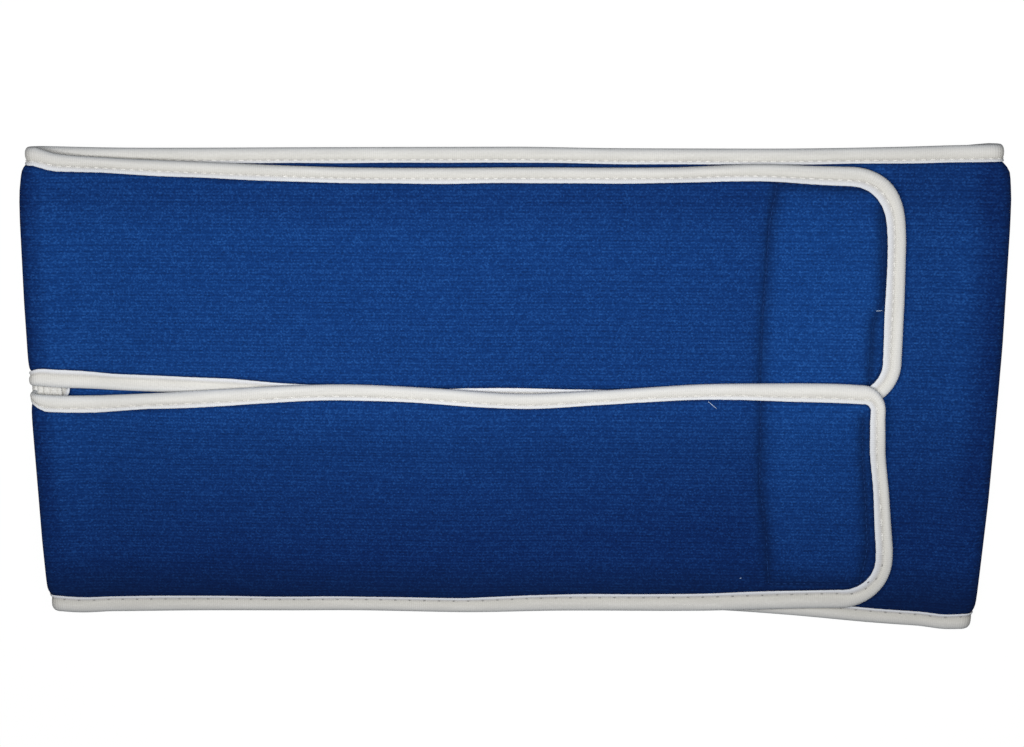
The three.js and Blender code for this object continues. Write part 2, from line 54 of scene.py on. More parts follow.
bpy.ops.object.light_add(type="AREA", location=(0, 0.08, 0.5))
studio_lamp = bpy.context.object
studio_lamp.name = "studio_lamp"
studio_lamp.data.shape = "RECTANGLE"
studio_lamp.data.size = 0.5
studio_lamp.data.size_y = 0.25
studio_lamp.data.energy = 2.65

surroundings = bpy.data.worlds.new("surroundings")
bpy.context.scene.world = surroundings
surroundings.use_nodes = True
surroundings.node_tree.nodes["Background"].inputs["Color"].default_value = (1, 1, 1, 1)
surroundings.node_tree.nodes["Background"].inputs["Strength"].default_value = 0.15

bpy.ops.mesh.primitive_plane_add(size=6, location=(0, 0, -0.0003))
floor = bpy.context.object
floor.name = "floor"
bpy.ops.object.transform_apply(location=True)
floor_paint = bpy.data.materials.new("floor_paint")
floor_paint.use_nodes = True
floor_shader = floor_paint.node_tree.nodes["Principled BSDF"]
floor_shader.inputs["Base Color"].default_value = (0.03, 0.03, 0.03, 1)
floor_shader.inputs["Roughness"].default_value = 0.9
floor_shader.inputs["Emission Color"].default_value = (1, 1, 1, 1)
floor_shader.inputs["Emission Strength"].default_value = 0.97
floor.data.materials.append(floor_paint)
floor.visible_diffuse = False
floor.visible_glossy = False

# Panel.
# One length of blue foam laminate with a knit on both faces, 8 inches high and 52 inches long.
# It is cut flat, slit at one end into two straps, and folded: flap, bottom, middle, straps.
cloth_thickness = 0.0034
half_cloth = cloth_thickness / 2
layer_pitch = cloth_thickness + 0.0003
half_length = 0.204
half_height = 0.1016
left_radius = 0.0035
right_radius = 0.0036
under_radius = layer_pitch / 2
fold_swell = 0.0034
swell_run = 0.025
fold_ramp = 0.022
flap_length = 0.165
under_fold_inset = 0.013
step_gap = 0.002
step_run = 0.05
strap_reach = 0.3669
left_centre = -half_length + fold_swell + half_cloth + left_radius
right_centre = half_length - fold_swell - half_cloth - right_radius
under_centre = -half_length + under_fold_inset + half_cloth + under_radius
flap_end = under_centre + flap_length - math.pi * under_radius
step_start = flap_end + step_gap
step_end = step_start + step_run
strap_end = -half_length + strap_reach
bottom_level = half_cloth
middle_low = bottom_level + layer_pitch
middle_high = middle_low + layer_pitch
strap_low = middle_low + layer_pitch
strap_high = middle_high + layer_pitch

FLAP, BOTTOM, MIDDLE, STRAPS = range(4)
straight_points = 41
turn_points = 25
route_x = [flap_end]
route_z = [middle_low]
route_layer = [FLAP]


def lay_straight(x, z, layer):
    """Takes the route on to a place, with an easy slope where its height changes."""
    start_x = route_x[-1]
    start_z = route_z[-1]
    for share in np.linspace(0, 1, straight_points)[1:]:
        eased = (1 - math.cos(math.pi * share)) / 2
        route_x.append(start_x + (x - start_x) * share)
        route_z.append(start_z + (z - start_z) * eased)
        route_layer.append(layer)


def turn_round(x, z, radius, start, end, layer):
    """Takes the route round the centre of a fold, from one angle to another."""
    for angle in np.linspace(start, end, turn_points)[1:]:
        route_x.append(x + radius * math.cos(angle))
        route_z.append(z + radius * math.sin(angle))
        route_layer.append(layer)


quarter = math.pi / 2
lay_straight(under_centre, middle_low, FLAP)
turn_round(under_centre, bottom_level + under_radius, under_radius, quarter, 3 * quarter, BOTTOM)
lay_straight(right_centre, bottom_level, BOTTOM)
turn_round(right_centre, bottom_level + right_radius, right_radius, -quarter, quarter, MIDDLE)
lay_straight(right_centre - fold_ramp, middle_low, MIDDLE)
lay_straight(step_end, middle_low, MIDDLE)
lay_straight(step_start, middle_high, MIDDLE)
lay_straight(left_centre, middle_high, MIDDLE)
fold_start = len(route_x) - 1
turn_round(left_centre, middle_high + left_radius, left_radius, 3 * quarter, quarter, STRAPS)
lay_straight(left_centre + fold_ramp, strap_high, STRAPS)
lay_straight(step_start, strap_high, STRAPS)
lay_straight(step_end, strap_low, STRAPS)
lay_straight(strap_end, strap_low, STRAPS)

route_x = np.array(route_x)
route_z = np.array(route_z)
route_layer = np.array(route_layer)
route_s = np.concatenate([[0], np.cumsum(np.hypot(np.diff(route_x), np.diff(route_z)))])
run_x = np.gradient(route_x, route_s)
run_z = np.gradient(route_z, route_s)
run_length = np.hypot(run_x, run_z)
out_x = -run_z / run_length
out_z = run_x / run_length
band_length = route_s[-1]
strap_start = route_s[fold_start]
slit_past_fold = 0.0034
slit_tip = strap_start - slit_past_fold

# Rows: place along the band as a share of its half length, then the top and bottom edges of a layer,
# or the outer edge and the slit's edge of a strap, as shares of the half height.
flap_edges = [[-1, 0.9645, -0.9585], [1, 0.9565, -0.9435]]
bottom_edges = [[-1, 0.9645, -0.9585], [0.4, 0.9715, -0.9465], [0.8, 0.9815, -0.9835], [1, 1.0115, -1.006]]
middle_edges = [
    [-1, 0.9965, -0.9815],
    [-0.8, 0.9905, -0.975],
    [-0.35, 0.9945, -0.9655],
    [0, 0.9965, -0.959],
    [0.2, 0.991, -0.9555],
    [0.43, 0.99, -0.9545],
    [0.61, 0.991, -0.9705],
    [0.81, 0.9985, -0.999],
    [0.95, 1.0075, -1.0105],
    [1, 1.0115, -1.006],
]
upper_strap_edges = [
    [-1, 0.9965, 0.0085],
    [-0.95, 0.969, -0.0015],
    [-0.85, 0.954, -0.0125],
    [-0.7, 0.941, -0.0215],
    [-0.35, 0.917, -0.0445],
    [0, 0.9165, -0.058],
    [0.33, 0.917, -0.0655],
    [0.52, 0.9305, -0.064],
    [0.65, 0.924, -0.062],
    [0.84, 0.9175, -0.0585],
]
lower_strap_edges = [
    [-1, -0.9815, -0.027],
    [-0.94, -0.9905, -0.035],
    [-0.88, -0.988, -0.034],
    [-0.7, -0.977, -0.007],
    [-0.48, -0.9675, 0.022],
    [-0.34, -0.961, 0.031],
    [-0.15, -0.9615, 0.018],
    [0.04, -0.962, -0.005],
    [0.2, -0.955, 0.011],
    [0.4, -0.947, 0.0395],
    [0.52, -0.938, 0.046],
    [0.7, -0.9235, 0.049],
    [0.84, -0.9215, 0.0385],
]
# Rows: place across as a share of the half height, then how far the left and right folds swell out.
fold_lines = np.array([
    [-1, -0.1, -0.85],
    [-0.955, -0.08, -0.75],
    [-0.925, -0.06, -0.34],
    [-0.895, 0.44, -0.25],
    [-0.67, 0.69, 0.13],
    [-0.45, 0.8, 0.48],
    [-0.18, 0.95, 0.72],
    [0, 1, 0.86],
    [0.2, 0.98, 1],
    [0.35, 1, 1],
    [0.7, 0.85, 1],
    [0.8, 0.72, 0.92],
    [0.905, 0.25, 0.6],
    [0.93, -0.3, -0.12],
    [1, -0.35, -0.32],
])
# Rows: place across as a share of the half height, then how much the strap's end leans in there.
upper_end_line = np.array([[-0.06, 0.2], [0.4, 0.2], [0.63, 0.55], [0.71, 1], [0.79, 0.75], [0.87, 0]])
lower_end_line = np.array([[-0.66, 0], [-0.58, 0.15], [-0.4, 0.46], [-0.24, 0.82], [-0.1, 1], [0.04, 0.97]])
upper_end_lean = 0.0016
lower_end_lean = 0.0065
lean_run = 0.045
bend_reads = (-0.014, -0.005, 0.005, 0.014)


def soft_line(table, column, at):
    """Reads the lines through a table's rows, with their bends rounded a little."""
    reads = [np.interp(at + shift, table[:, 0], table[:, column]) for shift in bend_reads]
    return sum(reads) / len(reads)


def read_edges(table, along):
    """Reads both edges of a table in metres, on smooth curves through its rows."""
    rows = np.array(table, dtype=float)
    row = np.clip(np.searchsorted(rows[:, 0], along) - 1, 0, len(rows) - 2)
    start = rows[row]
    end = rows[row + 1]
    before = rows[np.maximum(row - 1, 0)]
    after = rows[np.minimum(row + 2, len(rows) - 1)]
    run = end[:, :1] - start[:, :1]
    share = np.clip((along[:, None] - start[:, :1]) / run, 0, 1)
    rise = end - start
    start_slope = (end - before) / (end[:, :1] - before[:, :1]) * run
    end_slope = (after - start) / (after[:, :1] - start[:, :1]) * run
    bend = share * (1 - share) * ((1 - share) * (start_slope - rise) - share * (end_slope - rise))
    return ((start + share * rise + bend) * half_height)[:, 1:].T


at_left_fold = np.array([-1.0])
strap_gap_top = read_edges(upper_strap_edges, at_left_fold)[1][0]
strap_gap_bottom = read_edges(lower_strap_edges, at_left_fold)[1][0]
slit_middle = (strap_gap_top + strap_gap_bottom) / 2
slit_radius = 0.0004
slit_straight = slit_tip + slit_radius
fold_run = math.pi * left_radius


def ease(value, start, end):
    """Rises smoothly from 0 to 1 between two values."""
    share = np.clip((value - start) / (end - start), 0, 1)
    return (1 - np.cos(np.pi * share)) / 2


def on_route(s):
    """Place along the band as a share of its half length, and the layer, at places on the route."""
    x = np.interp(s, route_s, route_x)
    layer = route_layer[np.clip(np.searchsorted(route_s, s), 0, len(route_s) - 1)]
    return np.clip(x / np.where(x < 0, -left_centre, right_centre), -1, 1), layer


def cloth_edges(s, upper):
    """The outer edge and the slit's edge of one half of the band, at places along the route."""
    along, layer = on_route(s)
    column = 0 if upper else 1
    strap_outer, strap_slit = read_edges(upper_strap_edges if upper else lower_strap_edges, along)
    outer = np.choose(layer, [
        read_edges(flap_edges, along)[column],
        read_edges(bottom_edges, along)[column],
        read_edges(middle_edges, along)[column],
        strap_outer,
    ])
    body_slit = slit_middle + (slit_radius if upper else -slit_radius)
    opened = ease(s, strap_start, strap_start + fold_run)
    slit = body_slit + (strap_slit - body_slit) * np.where(layer == STRAPS, opened, 0)
    return outer, slit, layer


free_corner = 0.014
upper_corners = (0.024, 0.019)
lower_corners = (0.022, 0.011)
upper_end_tape = 0.008
lower_end_tape = 0.0074
body_slit_tape = 0.0066
# Rows: place along the band as a share of its half length, then the tape's width on the top and
# bottom edges of the body, or on the outer edge and the slit's edge of a strap.
body_tapes = np.array([
    [-1, 0.0064, 0.0069],
    [0.7, 0.0064, 0.0069],
    [0.88, 0.0068, 0.0067],
    [0.95, 0.0069, 0.0068],
    [1, 0.007, 0.0073],
])
upper_strap_tapes = np.array([
    [-1, 0.0077, 0.0079],
    [-0.95, 0.0073, 0.0079],
    [-0.92, 0.0068, 0.0078],
    [-0.86, 0.0064, 0.0074],
    [-0.6, 0.0066, 0.0073],
    [-0.5, 0.0064, 0.0067],
    [-0.33, 0.0064, 0.0061],
    [-0.27, 0.0064, 0.0057],
    [-0.19, 0.0064, 0.0059],
    [-0.09, 0.0064, 0.0072],
    [0.45, 0.0064, 0.0073],
    [0.56, 0.0071, 0.0073],
    [0.72, 0.0079, 0.0074],
])
lower_strap_tapes = np.array([
    [-1, 0.0075, 0.0072],
    [-0.9, 0.0073, 0.0073],
    [-0.78, 0.0072, 0.0066],
    [-0.6, 0.0069, 0.0073],
    [-0.45, 0.0066, 0.0067],
    [-0.1, 0.0067, 0.0065],
    [0.05, 0.0077, 0.0064],
    [0.27, 0.0079, 0.0059],
    [0.38, 0.008, 0.0064],
    [0.5, 0.0083, 0.0067],
    [0.6, 0.0085, 0.0077],
    [0.72, 0.0086, 0.008],
])
lap_width = 0.014
lap_slope = 0.024
lap_inset = 0.027
lap_run = 0.038
lap_start = -half_length + lap_inset
lap_end = lap_start + lap_run
free_wave = 0.0003
wave_from = 0.15
wave_gone = 0.19
narrowed_run = fold_run + 0.002
upper_narrowed = 0.0012
lower_narrowed = 0.003


def tapes_at(s, upper):
    """Width of the tape on the outer edge and on the slit's edge, at places along the route."""
    along, layer = on_route(s)
    strap = upper_strap_tapes if upper else lower_strap_tapes
    opened = np.where(layer == STRAPS, ease(s, strap_start, strap_start + fold_run), 0)
    body_outer = np.interp(along, body_tapes[:, 0], body_tapes[:, 1 if upper else 2])
    strap_outer = np.interp(along, strap[:, 0], strap[:, 1])
    strap_slit = np.interp(along, strap[:, 0], strap[:, 2])
    on_fold = np.clip((s - strap_start) / narrowed_run, 0, 1)
    narrowed = (upper_narrowed if upper else lower_narrowed) * np.sin(np.pi * on_fold) ** 1.5
    outer_tape = body_outer + opened * (strap_outer - body_outer)
    return outer_tape, body_slit_tape + opened * (strap_slit - body_slit_tape) - narrowed


def fold(s, y, n, upper):
    """Takes points of the flat cut to the folded band: s along, y across, n over the middle."""
    _, slit, layer = cloth_edges(s, upper)
    x = np.interp(s, route_s, route_x)
    z = np.interp(s, route_s, route_z)
    across = y / half_height
    left = (layer == MIDDLE) | (layer == STRAPS)
    right = (layer == MIDDLE) | (layer == BOTTOM)
    swell = right * ease(x, right_centre - swell_run, right_centre) * soft_line(fold_lines, 2, across)
    left_share = left * ease(-x, -left_centre - swell_run, -left_centre)
    swell = swell - left_share * soft_line(fold_lines, 1, across)
    on_strap = layer == STRAPS
    end_line, end_lean = (upper_end_line, upper_end_lean) if upper else (lower_end_line, lower_end_lean)
    near_end = np.clip(1 - (band_length - s) / lean_run, 0, 1)
    lean = on_strap * near_end * end_lean * soft_line(end_line, 1, across)
    lift = 0 * s
    if not upper:
        lap = ease(lap_width + lap_slope - slit + y, 0, lap_slope)
        lift = on_strap * layer_pitch * lap * ease(x, lap_start, lap_end)
    ripple = np.sin(38 * x + 17 * y) * np.sin(61 * y + 9 * x + 1) * ease(-np.abs(x), -wave_gone, -wave_from)
    lift = lift + np.where(on_strap, free_wave * (ripple + 1), 0)
    return np.stack([
        x + swell * fold_swell - lean + n * np.interp(s, route_s, out_x),
        y,
        z + lift + n * np.interp(s, route_s, out_z),
    ], axis=-1)


def corner_inset(distance, radius, inset):
    """How far a line at one inset lies inside the edge near a round corner."""
    inner = np.maximum(radius - inset, 0)
    reach = np.clip(radius - distance, 0, inner)
    return np.where(radius > inset, radius - np.sqrt(inner ** 2 - reach ** 2), inset)


def past_tape(along, across, radius, side_tape, end_tape):
    """How far a point lies past the tape of a corner and of the edges that meet there."""
    in_corner = (along < radius) & (across < radius)
    reach = np.hypot(radius - along, radius - across)
    turned = np.where(in_corner, (radius - along) / np.maximum(reach, 1e-9), along < across)
    distance = np.where(in_corner, radius - reach, np.minimum(along, across))
    return distance - side_tape - turned * (end_tape - side_tape)


# Lines of the cloth along each edge: a share of the tape's width, and how far past the tape.
under_tape_rows = [(0, 0.0012), (0.55, 0), (1, -0.0005)]
beside_tape_rows = [0, 0.0004, 0.001, 0.0018, 0.003, 0.0048, 0.0073, 0.0108, 0.0153, 0.0208]
edge_rows = under_tape_rows + [(1, past) for past in beside_tape_rows]
middle_rows = list(np.linspace(0, 1, 14)[1:-1])


def rows_across(s, upper):
    """The lines of one half at each place along the route, from low y to high y."""
    outer, slit, layer = cloth_edges(s, upper)
    outer_tape, slit_tape = tapes_at(s, upper)
    side = 1 if upper else -1
    outer_corner, inner_corner = upper_corners if upper else lower_corners
    to_end = band_length - s
    lines = []
    for share, past in edge_rows:
        inset = share * outer_tape + past
        at_free = corner_inset(s, free_corner, inset)
        at_strap = corner_inset(to_end, outer_corner, inset)
        lines.append(outer - side * np.maximum(at_free, at_strap))
    slit_lines = []
    for share, past in edge_rows:
        inset = share * slit_tape + past
        radius = slit_radius + inset
        to_centre = np.clip(slit_straight - s, 0, radius)
        body = slit_middle + side * np.sqrt(radius ** 2 - to_centre ** 2)
        strap = slit + side * corner_inset(to_end, inner_corner, inset)
        slit_lines.append(np.where(layer == STRAPS, strap, body))
    slit_lines.reverse()
    for share in middle_rows:
        lines.append(lines[len(edge_rows) - 1] * (1 - share) + slit_lines[0] * share)
    lines = lines + slit_lines
    if upper:
        lines.reverse()
    return np.array(lines)


def past_every_tape(s, y, upper):
    """How far a point of the flat cut lies past the nearest tape."""
    outer, slit, layer = cloth_edges(s, upper)
    outer_tape, slit_tape = tapes_at(s, upper)
    side = 1 if upper else -1
    outer_corner, inner_corner = upper_corners if upper else lower_corners
    end_tape = upper_end_tape if upper else lower_end_tape
    to_end = band_length - s
    from_outer = side * (outer - y)
    from_slit = side * (y - slit)
    tip = np.hypot(np.maximum(slit_straight - s, 0), y - slit_middle) - slit_radius - body_slit_tape
    at_slit = past_tape(to_end, from_slit, inner_corner, slit_tape, end_tape)
    slit_side = np.where(layer == STRAPS, at_slit, tip)
    outer_side = np.minimum(
        past_tape(to_end, from_outer, outer_corner, outer_tape, end_tape),
        past_tape(s, from_outer, free_corner, outer_tape, outer_tape),
    )
    return np.minimum(outer_side, slit_side)


def along_route(steps):
    """Columns from a list of places along the route, each followed by the widest gap after it."""
    places = [steps[0]]
    for start, end, gap in zip(steps[0::2], steps[2::2], steps[1::2]):
        count = max(1, math.ceil((end - start) / gap))
        places.extend(np.linspace(start, end, count + 1)[1:])
    return np.array(places)


under_end = route_s[np.flatnonzero(route_layer == BOTTOM)[turn_points - 1]]
under_start = under_end - math.pi * under_radius
right_start = route_s[np.flatnonzero(route_layer == BOTTOM)[-1]]
right_end = right_start + math.pi * right_radius
left_end = strap_start + math.pi * left_radius
first_column = 0.0012
end_run = 0.024
free_run = 0.014
end_columns = end_run - (end_run - first_column) * np.sin(np.linspace(0, quarter, 27))
free_columns = free_run - (free_run - first_column) * np.sin(np.linspace(0, quarter, 9))
columns = np.concatenate([
    free_columns[::-1],
    along_route([
        free_run + 0.0002, 0.0045,
        under_start, 0.0006,
        under_end, 0.0045,
        right_start - swell_run, 0.0025,
        right_start, 0.0006,
        right_end, 0.0025,
        right_end + swell_run, 0.0045,
        strap_start - 0.03, 0.0022,
        slit_tip - 0.009, 0.0007,
        left_end, 0.002,
        left_end + swell_run, 0.0035,
        band_length - 0.062, 0.0011,
        band_length - 0.0245,
    ]),
    band_length - end_columns,
])

# The sewn lines over the hook pads of the upper strap and of the lower one.
stitch_lines = {
    True: [
        [(0.1093, 0.0868), (0.1066, 0.0705), (0.1057, 0.0475), (0.1049, 0.0315), (0.1047, 0.0005)],
        [(0.1527, 0.076), (0.1537, 0.0385), (0.1503, 0.0295), (0.1501, 0.004)],
        [(0.1093, 0.0868), (0.1445, 0.0853)],
    ],
    False: [
        [(0.105, -0.0015), (0.1061, -0.0395), (0.1096, -0.0635), (0.1111, -0.0833)],
        [(0.1111, -0.0833), (0.1498, -0.0825)],
        [(0.1498, -0.0825), (0.1522, -0.065), (0.152, -0.0095)],
    ],
}
pad_from = 0.0112
pad_to = 0.0558
pad_room = 0.0005
pad_past_tape = 0.0015
pad_zone = 0.075
thinned_at = [-0.0002, 0.0002, 0.0009, 0.0022, 0.0044, 0.0085]
thinned_half = [0.0005, 0.0007, 0.0011, 0.00142, 0.00161, half_cloth]
under_over_pad = 0.0002
least_top = 0.0003
sewn_dent = (0.0006, 0.0012)
sewn_sag = (0.00035, 0.004)
dent_shadow = (0.2, 0.0009)
sag_shadow = (0.48, 0.0032)
tape_shadow = (0.5, 0.0007)
darkest_shadow = 0.8


def bell(distance, height, width):
    """A soft rise of one height and width beside a line."""
    return height * np.exp(-((distance / width) ** 2))


def distance_to_lines(x, y, lines):
    """Distance of points from the nearest of some lines."""
    nearest = np.full(np.shape(x), 1.0)
    for line in lines:
        for (ax, ay), (bx, by) in zip(line[:-1], line[1:]):
            span = (bx - ax) ** 2 + (by - ay) ** 2
            share = np.clip(((x - ax) * (bx - ax) + (y - ay) * (by - ay)) / span, 0, 1)
            gap = np.hypot(x - ax - share * (bx - ax), y - ay - share * (by - ay))
            nearest = np.minimum(nearest, gap)
    return nearest


def top_and_under(s, y, upper):
    """Height of the cloth's two faces over its middle."""
    past = past_every_tape(s, y, upper)
    half = np.interp(past, thinned_at, thinned_half)
    gap = distance_to_lines(np.interp(s, route_s, route_x), y, stitch_lines[upper])
    to_end = band_length - s
    dent = (to_end < pad_zone) * (bell(gap, *sewn_dent) + bell(gap, *sewn_sag))
    over_pad = (to_end > pad_from - pad_room) & (to_end < pad_to + pad_room) & (past > pad_past_tape)
    top = half - np.minimum(dent, half - least_top)
    under = np.where(over_pad, -under_over_pad, -half)
    return top, under


def shaped_grid(name, places, lines):
    """A grid whose columns stand at places and whose rows follow lines, still lying flat."""
    bpy.ops.object.select_all(action="DESELECT")
    bpy.ops.mesh.primitive_grid_add(x_subdivisions=len(places) - 1, y_subdivisions=len(lines) - 1, size=1)
    grid = bpy.context.object
    grid.name = name
    flat = np.empty(len(grid.data.vertices) * 3)
    grid.data.vertices.foreach_get("co", flat)
    flat = flat.reshape(-1, 3)
    column = np.rint((flat[:, 0] + 0.5) * (len(places) - 1)).astype(int)
    row = np.rint((flat[:, 1] + 0.5) * (len(lines) - 1)).astype(int)
    return grid, column, row


def write_uv(piece, u, v, name="cut"):
    """Writes the piece's first map, or a further one, from a pair of values at each point."""
    corner = np.empty(len(piece.data.loops), dtype=int)
    piece.data.loops.foreach_get("vertex_index", corner)
    if name == "cut":
        piece.data.uv_layers[0].name = name
    else:
        piece.data.uv_layers.new(name=name)
    piece.data.uv_layers[name].data.foreach_set("uv", np.stack([u[corner], v[corner]], axis=-1).ravel())


def join_and_close(pieces, gap):
    """Joins pieces into the first, merges the points that meet and turns all faces outwards."""
    bpy.ops.object.select_all(action="DESELECT")
    for piece in pieces:
        piece.select_set(True)
    bpy.context.view_layer.objects.active = pieces[0]
    bpy.ops.object.join()
    bpy.ops.object.mode_set(mode="EDIT")
    bpy.ops.mesh.select_all(action="SELECT")
    bpy.ops.mesh.remove_doubles(threshold=gap)
    bpy.ops.mesh.select_all(action="SELECT")
    bpy.ops.mesh.normals_make_consistent(inside=False)
    bpy.ops.object.mode_set(mode="OBJECT")


def thicken(piece, thickness, offset=0.0, group=""):
    """Gives a sheet its thickness, which the weights of a vertex group may make less."""
    bpy.context.view_layer.objects.active = piece
    wall = piece.modifiers.new("wall", "SOLIDIFY")
    wall.thickness = thickness
    wall.offset = offset
    wall.vertex_group = group
    bpy.ops.object.modifier_apply(modifier="wall")


halves = []
for upper in (True, False):
    lines = rows_across(columns, upper)
    half, column, row = shaped_grid("upper_half" if upper else "lower_half", columns, lines)
    s = columns[column]
    y = lines[row, column]
    write_uv(half, s, y)
    # Painted shadow: the cloth's colour is darkened along the sewn lines over the pads and right beside
    # every tape, and the map named shadow carries it.
    gap = distance_to_lines(np.interp(s, route_s, route_x), y, stitch_lines[upper])
    sunk = (band_length - s < pad_zone) * (bell(gap, *dent_shadow) + bell(gap, *sag_shadow))
    shadow_beside_tape = bell(np.maximum(past_every_tape(s, y, upper), 0), *tape_shadow)
    write_uv(half, np.minimum(sunk + shadow_beside_tape, darkest_shadow), y, name="shadow")
    top, under = top_and_under(s, y, upper)
    folded = fold(s, y, (top + under) / 2, upper)
    half.data.vertices.foreach_set("co", folded.ravel())
    thickness = half.vertex_groups.new(name="thickness")
    share = (top - under) / cloth_thickness
    for k, weight in enumerate(share):
        thickness.add([k], float(weight), "REPLACE")
    halves.append(half)

join_and_close(halves, 0.00002)
panel = halves[0]
panel.name = "knit_panel"
panel.data.name = "knit_panel"
thicken(panel, cloth_thickness, group="thickness")
bpy.ops.object.shade_smooth()


def new_finish(name, roughness, specular):
    """A material, its node tree and its shader."""
    finish = bpy.data.materials.new(name)
    finish.use_nodes = True
    shader = finish.node_tree.nodes["Principled BSDF"]
    shader.inputs["Roughness"].default_value = roughness
    shader.inputs["Specular IOR Level"].default_value = specular
    return finish, finish.node_tree, shader


def own_map(tree, name):
    """The map of that name which lies on the piece itself."""
    node = tree.nodes.new("ShaderNodeUVMap")
    node.uv_map = name
    return node


def split(tree, vector):
    """The first two directions of a vector."""
    node = tree.nodes.new("ShaderNodeSeparateXYZ")
    tree.links.new(vector, node.inputs[0])
    return node.outputs["X"], node.outputs["Y"]


def arithmetic(tree, operation, first, second=0.0):
    """One sum, product or other operation on two values or sockets."""
    node = tree.nodes.new("ShaderNodeMath")
    node.operation = operation
    for socket, value in zip(node.inputs, (first, second)):
        if isinstance(value, (int, float)):
            socket.default_value = value
        else:
            tree.links.new(value, socket)
    return node.outputs[0]


def spread(tree, value, low, high, to_low, to_high):
    """Takes one range of a value to another range and holds it there."""
    node = tree.nodes.new("ShaderNodeMapRange")
    node.inputs["From Min"].default_value = low
    node.inputs["From Max"].default_value = high
    node.inputs["To Min"].default_value = to_low
    node.inputs["To Max"].default_value = to_high
    tree.links.new(value, node.inputs["Value"])
    return node.outputs[0]


def total(tree, *values):
    """The sum of values and sockets."""
    added = values[0]
    for value in values[1:]:
        added = arithmetic(tree, "ADD", added, value)
    return added


def pattern(tree, source, scale, detail=2.0, roughness=0.5):
    """A noise that is stretched to the given number of features a metre along and across."""
    mapping = tree.nodes.new("ShaderNodeMapping")
    mapping.inputs["Scale"].default_value = scale
    tree.links.new(source.outputs[0], mapping.inputs["Vector"])
    noise = tree.nodes.new("ShaderNodeTexNoise")
    noise.inputs["Scale"].default_value = 1.0
    noise.inputs["Detail"].default_value = detail
    noise.inputs["Roughness"].default_value = roughness
    tree.links.new(mapping.outputs["Vector"], noise.inputs["Vector"])
    return noise.outputs["Fac"]


def ridges(tree, distance, pitch):
    """Even waves of one pitch, from -1 to 1."""
    turns = arithmetic(tree, "MULTIPLY", distance, 2 * math.pi / pitch)
    return arithmetic(tree, "SINE", turns)


def loops(tree, along, across, length, width):
    """Yarn loops of one length and width in rows, each of its own brightness from 0 to 1."""
    row = arithmetic(tree, "FLOOR", arithmetic(tree, "DIVIDE", across, width))
    row_start = tree.nodes.new("ShaderNodeTexWhiteNoise")
    row_start.noise_dimensions = "1D"
    tree.links.new(row, row_start.inputs["W"])
    started = arithmetic(tree, "MULTIPLY", row_start.outputs["Value"], 9.0)
    places = total(tree, arithmetic(tree, "DIVIDE", along, length), started)
    loop = tree.nodes.new("ShaderNodeCombineXYZ")
    tree.links.new(arithmetic(tree, "FLOOR", places), loop.inputs["X"])
    tree.links.new(row, loop.inputs["Y"])
    brightness = tree.nodes.new("ShaderNodeTexWhiteNoise")
    brightness.noise_dimensions = "2D"
    tree.links.new(loop.outputs[0], brightness.inputs["Vector"])
    return brightness.outputs["Value"]


def colour_ramp(tree, value, stops):
    """A colour that goes from stop to stop as the value rises from 0 to 1."""
    ramp = tree.nodes.new("ShaderNodeValToRGB")
    ramp.color_ramp.elements[0].position = stops[0][0]
    ramp.color_ramp.elements[0].color = stops[0][1]
    ramp.color_ramp.elements[1].position = stops[-1][0]
    ramp.color_ramp.elements[1].color = stops[-1][1]
    for position, colour in stops[1:-1]:
        ramp.color_ramp.elements.new(position).color = colour
    tree.links.new(value, ramp.inputs["Fac"])
    return ramp.outputs["Color"]


def mixed(tree, share, first, second):
    """The first colour, or the second one by its share."""
    mix = tree.nodes.new("ShaderNodeMix")
    mix.data_type = "RGBA"
    tree.links.new(share, mix.inputs["Factor"])
    tree.links.new(first, mix.inputs["A"])
    tree.links.new(second, mix.inputs["B"])
    return mix.outputs["Result"]


def add_bump(tree, shader, height, strength, distance):
    """Lets a pattern raise and lower the surface a little."""
    bump = tree.nodes.new("ShaderNodeBump")
    bump.inputs["Strength"].default_value = strength
    bump.inputs["Distance"].default_value = distance
    tree.links.new(height, bump.inputs["Height"])
    tree.links.new(bump.outputs["Normal"], shader.inputs["Normal"])


row_pitch = 0.0013
wide_row_pitch = 0.00293
short_loop = (0.0006, 0.00058)
long_loop = (0.0022, row_pitch)
knit_cloth, knit_tree, knit_shader = new_finish("knit_cloth", 0.92, 0.12)
knit_shader.inputs["Sheen Weight"].default_value = 0.015
knit_shader.inputs["Sheen Roughness"].default_value = 0.5
knit_shader.inputs["Sheen Tint"].default_value = (0.25, 0.42, 0.85, 1)
cut_map = own_map(knit_tree, "cut")
cut_along, cut_across = split(knit_tree, cut_map.outputs[0])
short_loops = loops(knit_tree, cut_along, cut_across, *short_loop)
long_loops = loops(knit_tree, cut_along, cut_across, *long_loop)
knit_row = ridges(knit_tree, cut_across, row_pitch)
wide_row = ridges(knit_tree, cut_across, wide_row_pitch)
fleck = pattern(knit_tree, cut_map, (1100, 1300, 1))
row_strength = pattern(knit_tree, cut_map, (70, 120, 1))
mottle = pattern(knit_tree, cut_map, (60, 130, 1), detail=4.0, roughness=0.65)
broad = pattern(knit_tree, cut_map, (9, 13, 1))
bright_loops = arithmetic(knit_tree, "POWER", short_loops, 3.5)
row_amount = spread(knit_tree, row_strength, 0.35, 0.65, 0.04, 0.11)
shade = total(
    knit_tree,
    spread(knit_tree, bright_loops, 0, 1, -0.06, 0.3),
    spread(knit_tree, long_loops, 0, 1, -0.045, 0.045),
    spread(knit_tree, fleck, 0.25, 0.75, -0.2, 0.2),
    spread(knit_tree, mottle, 0.25, 0.75, -0.06, 0.06),
    spread(knit_tree, broad, 0.3, 0.7, -0.035, 0.035),
    arithmetic(knit_tree, "MULTIPLY", knit_row, row_amount),
    arithmetic(knit_tree, "MULTIPLY", wide_row, 0.05),
    0.5,
)
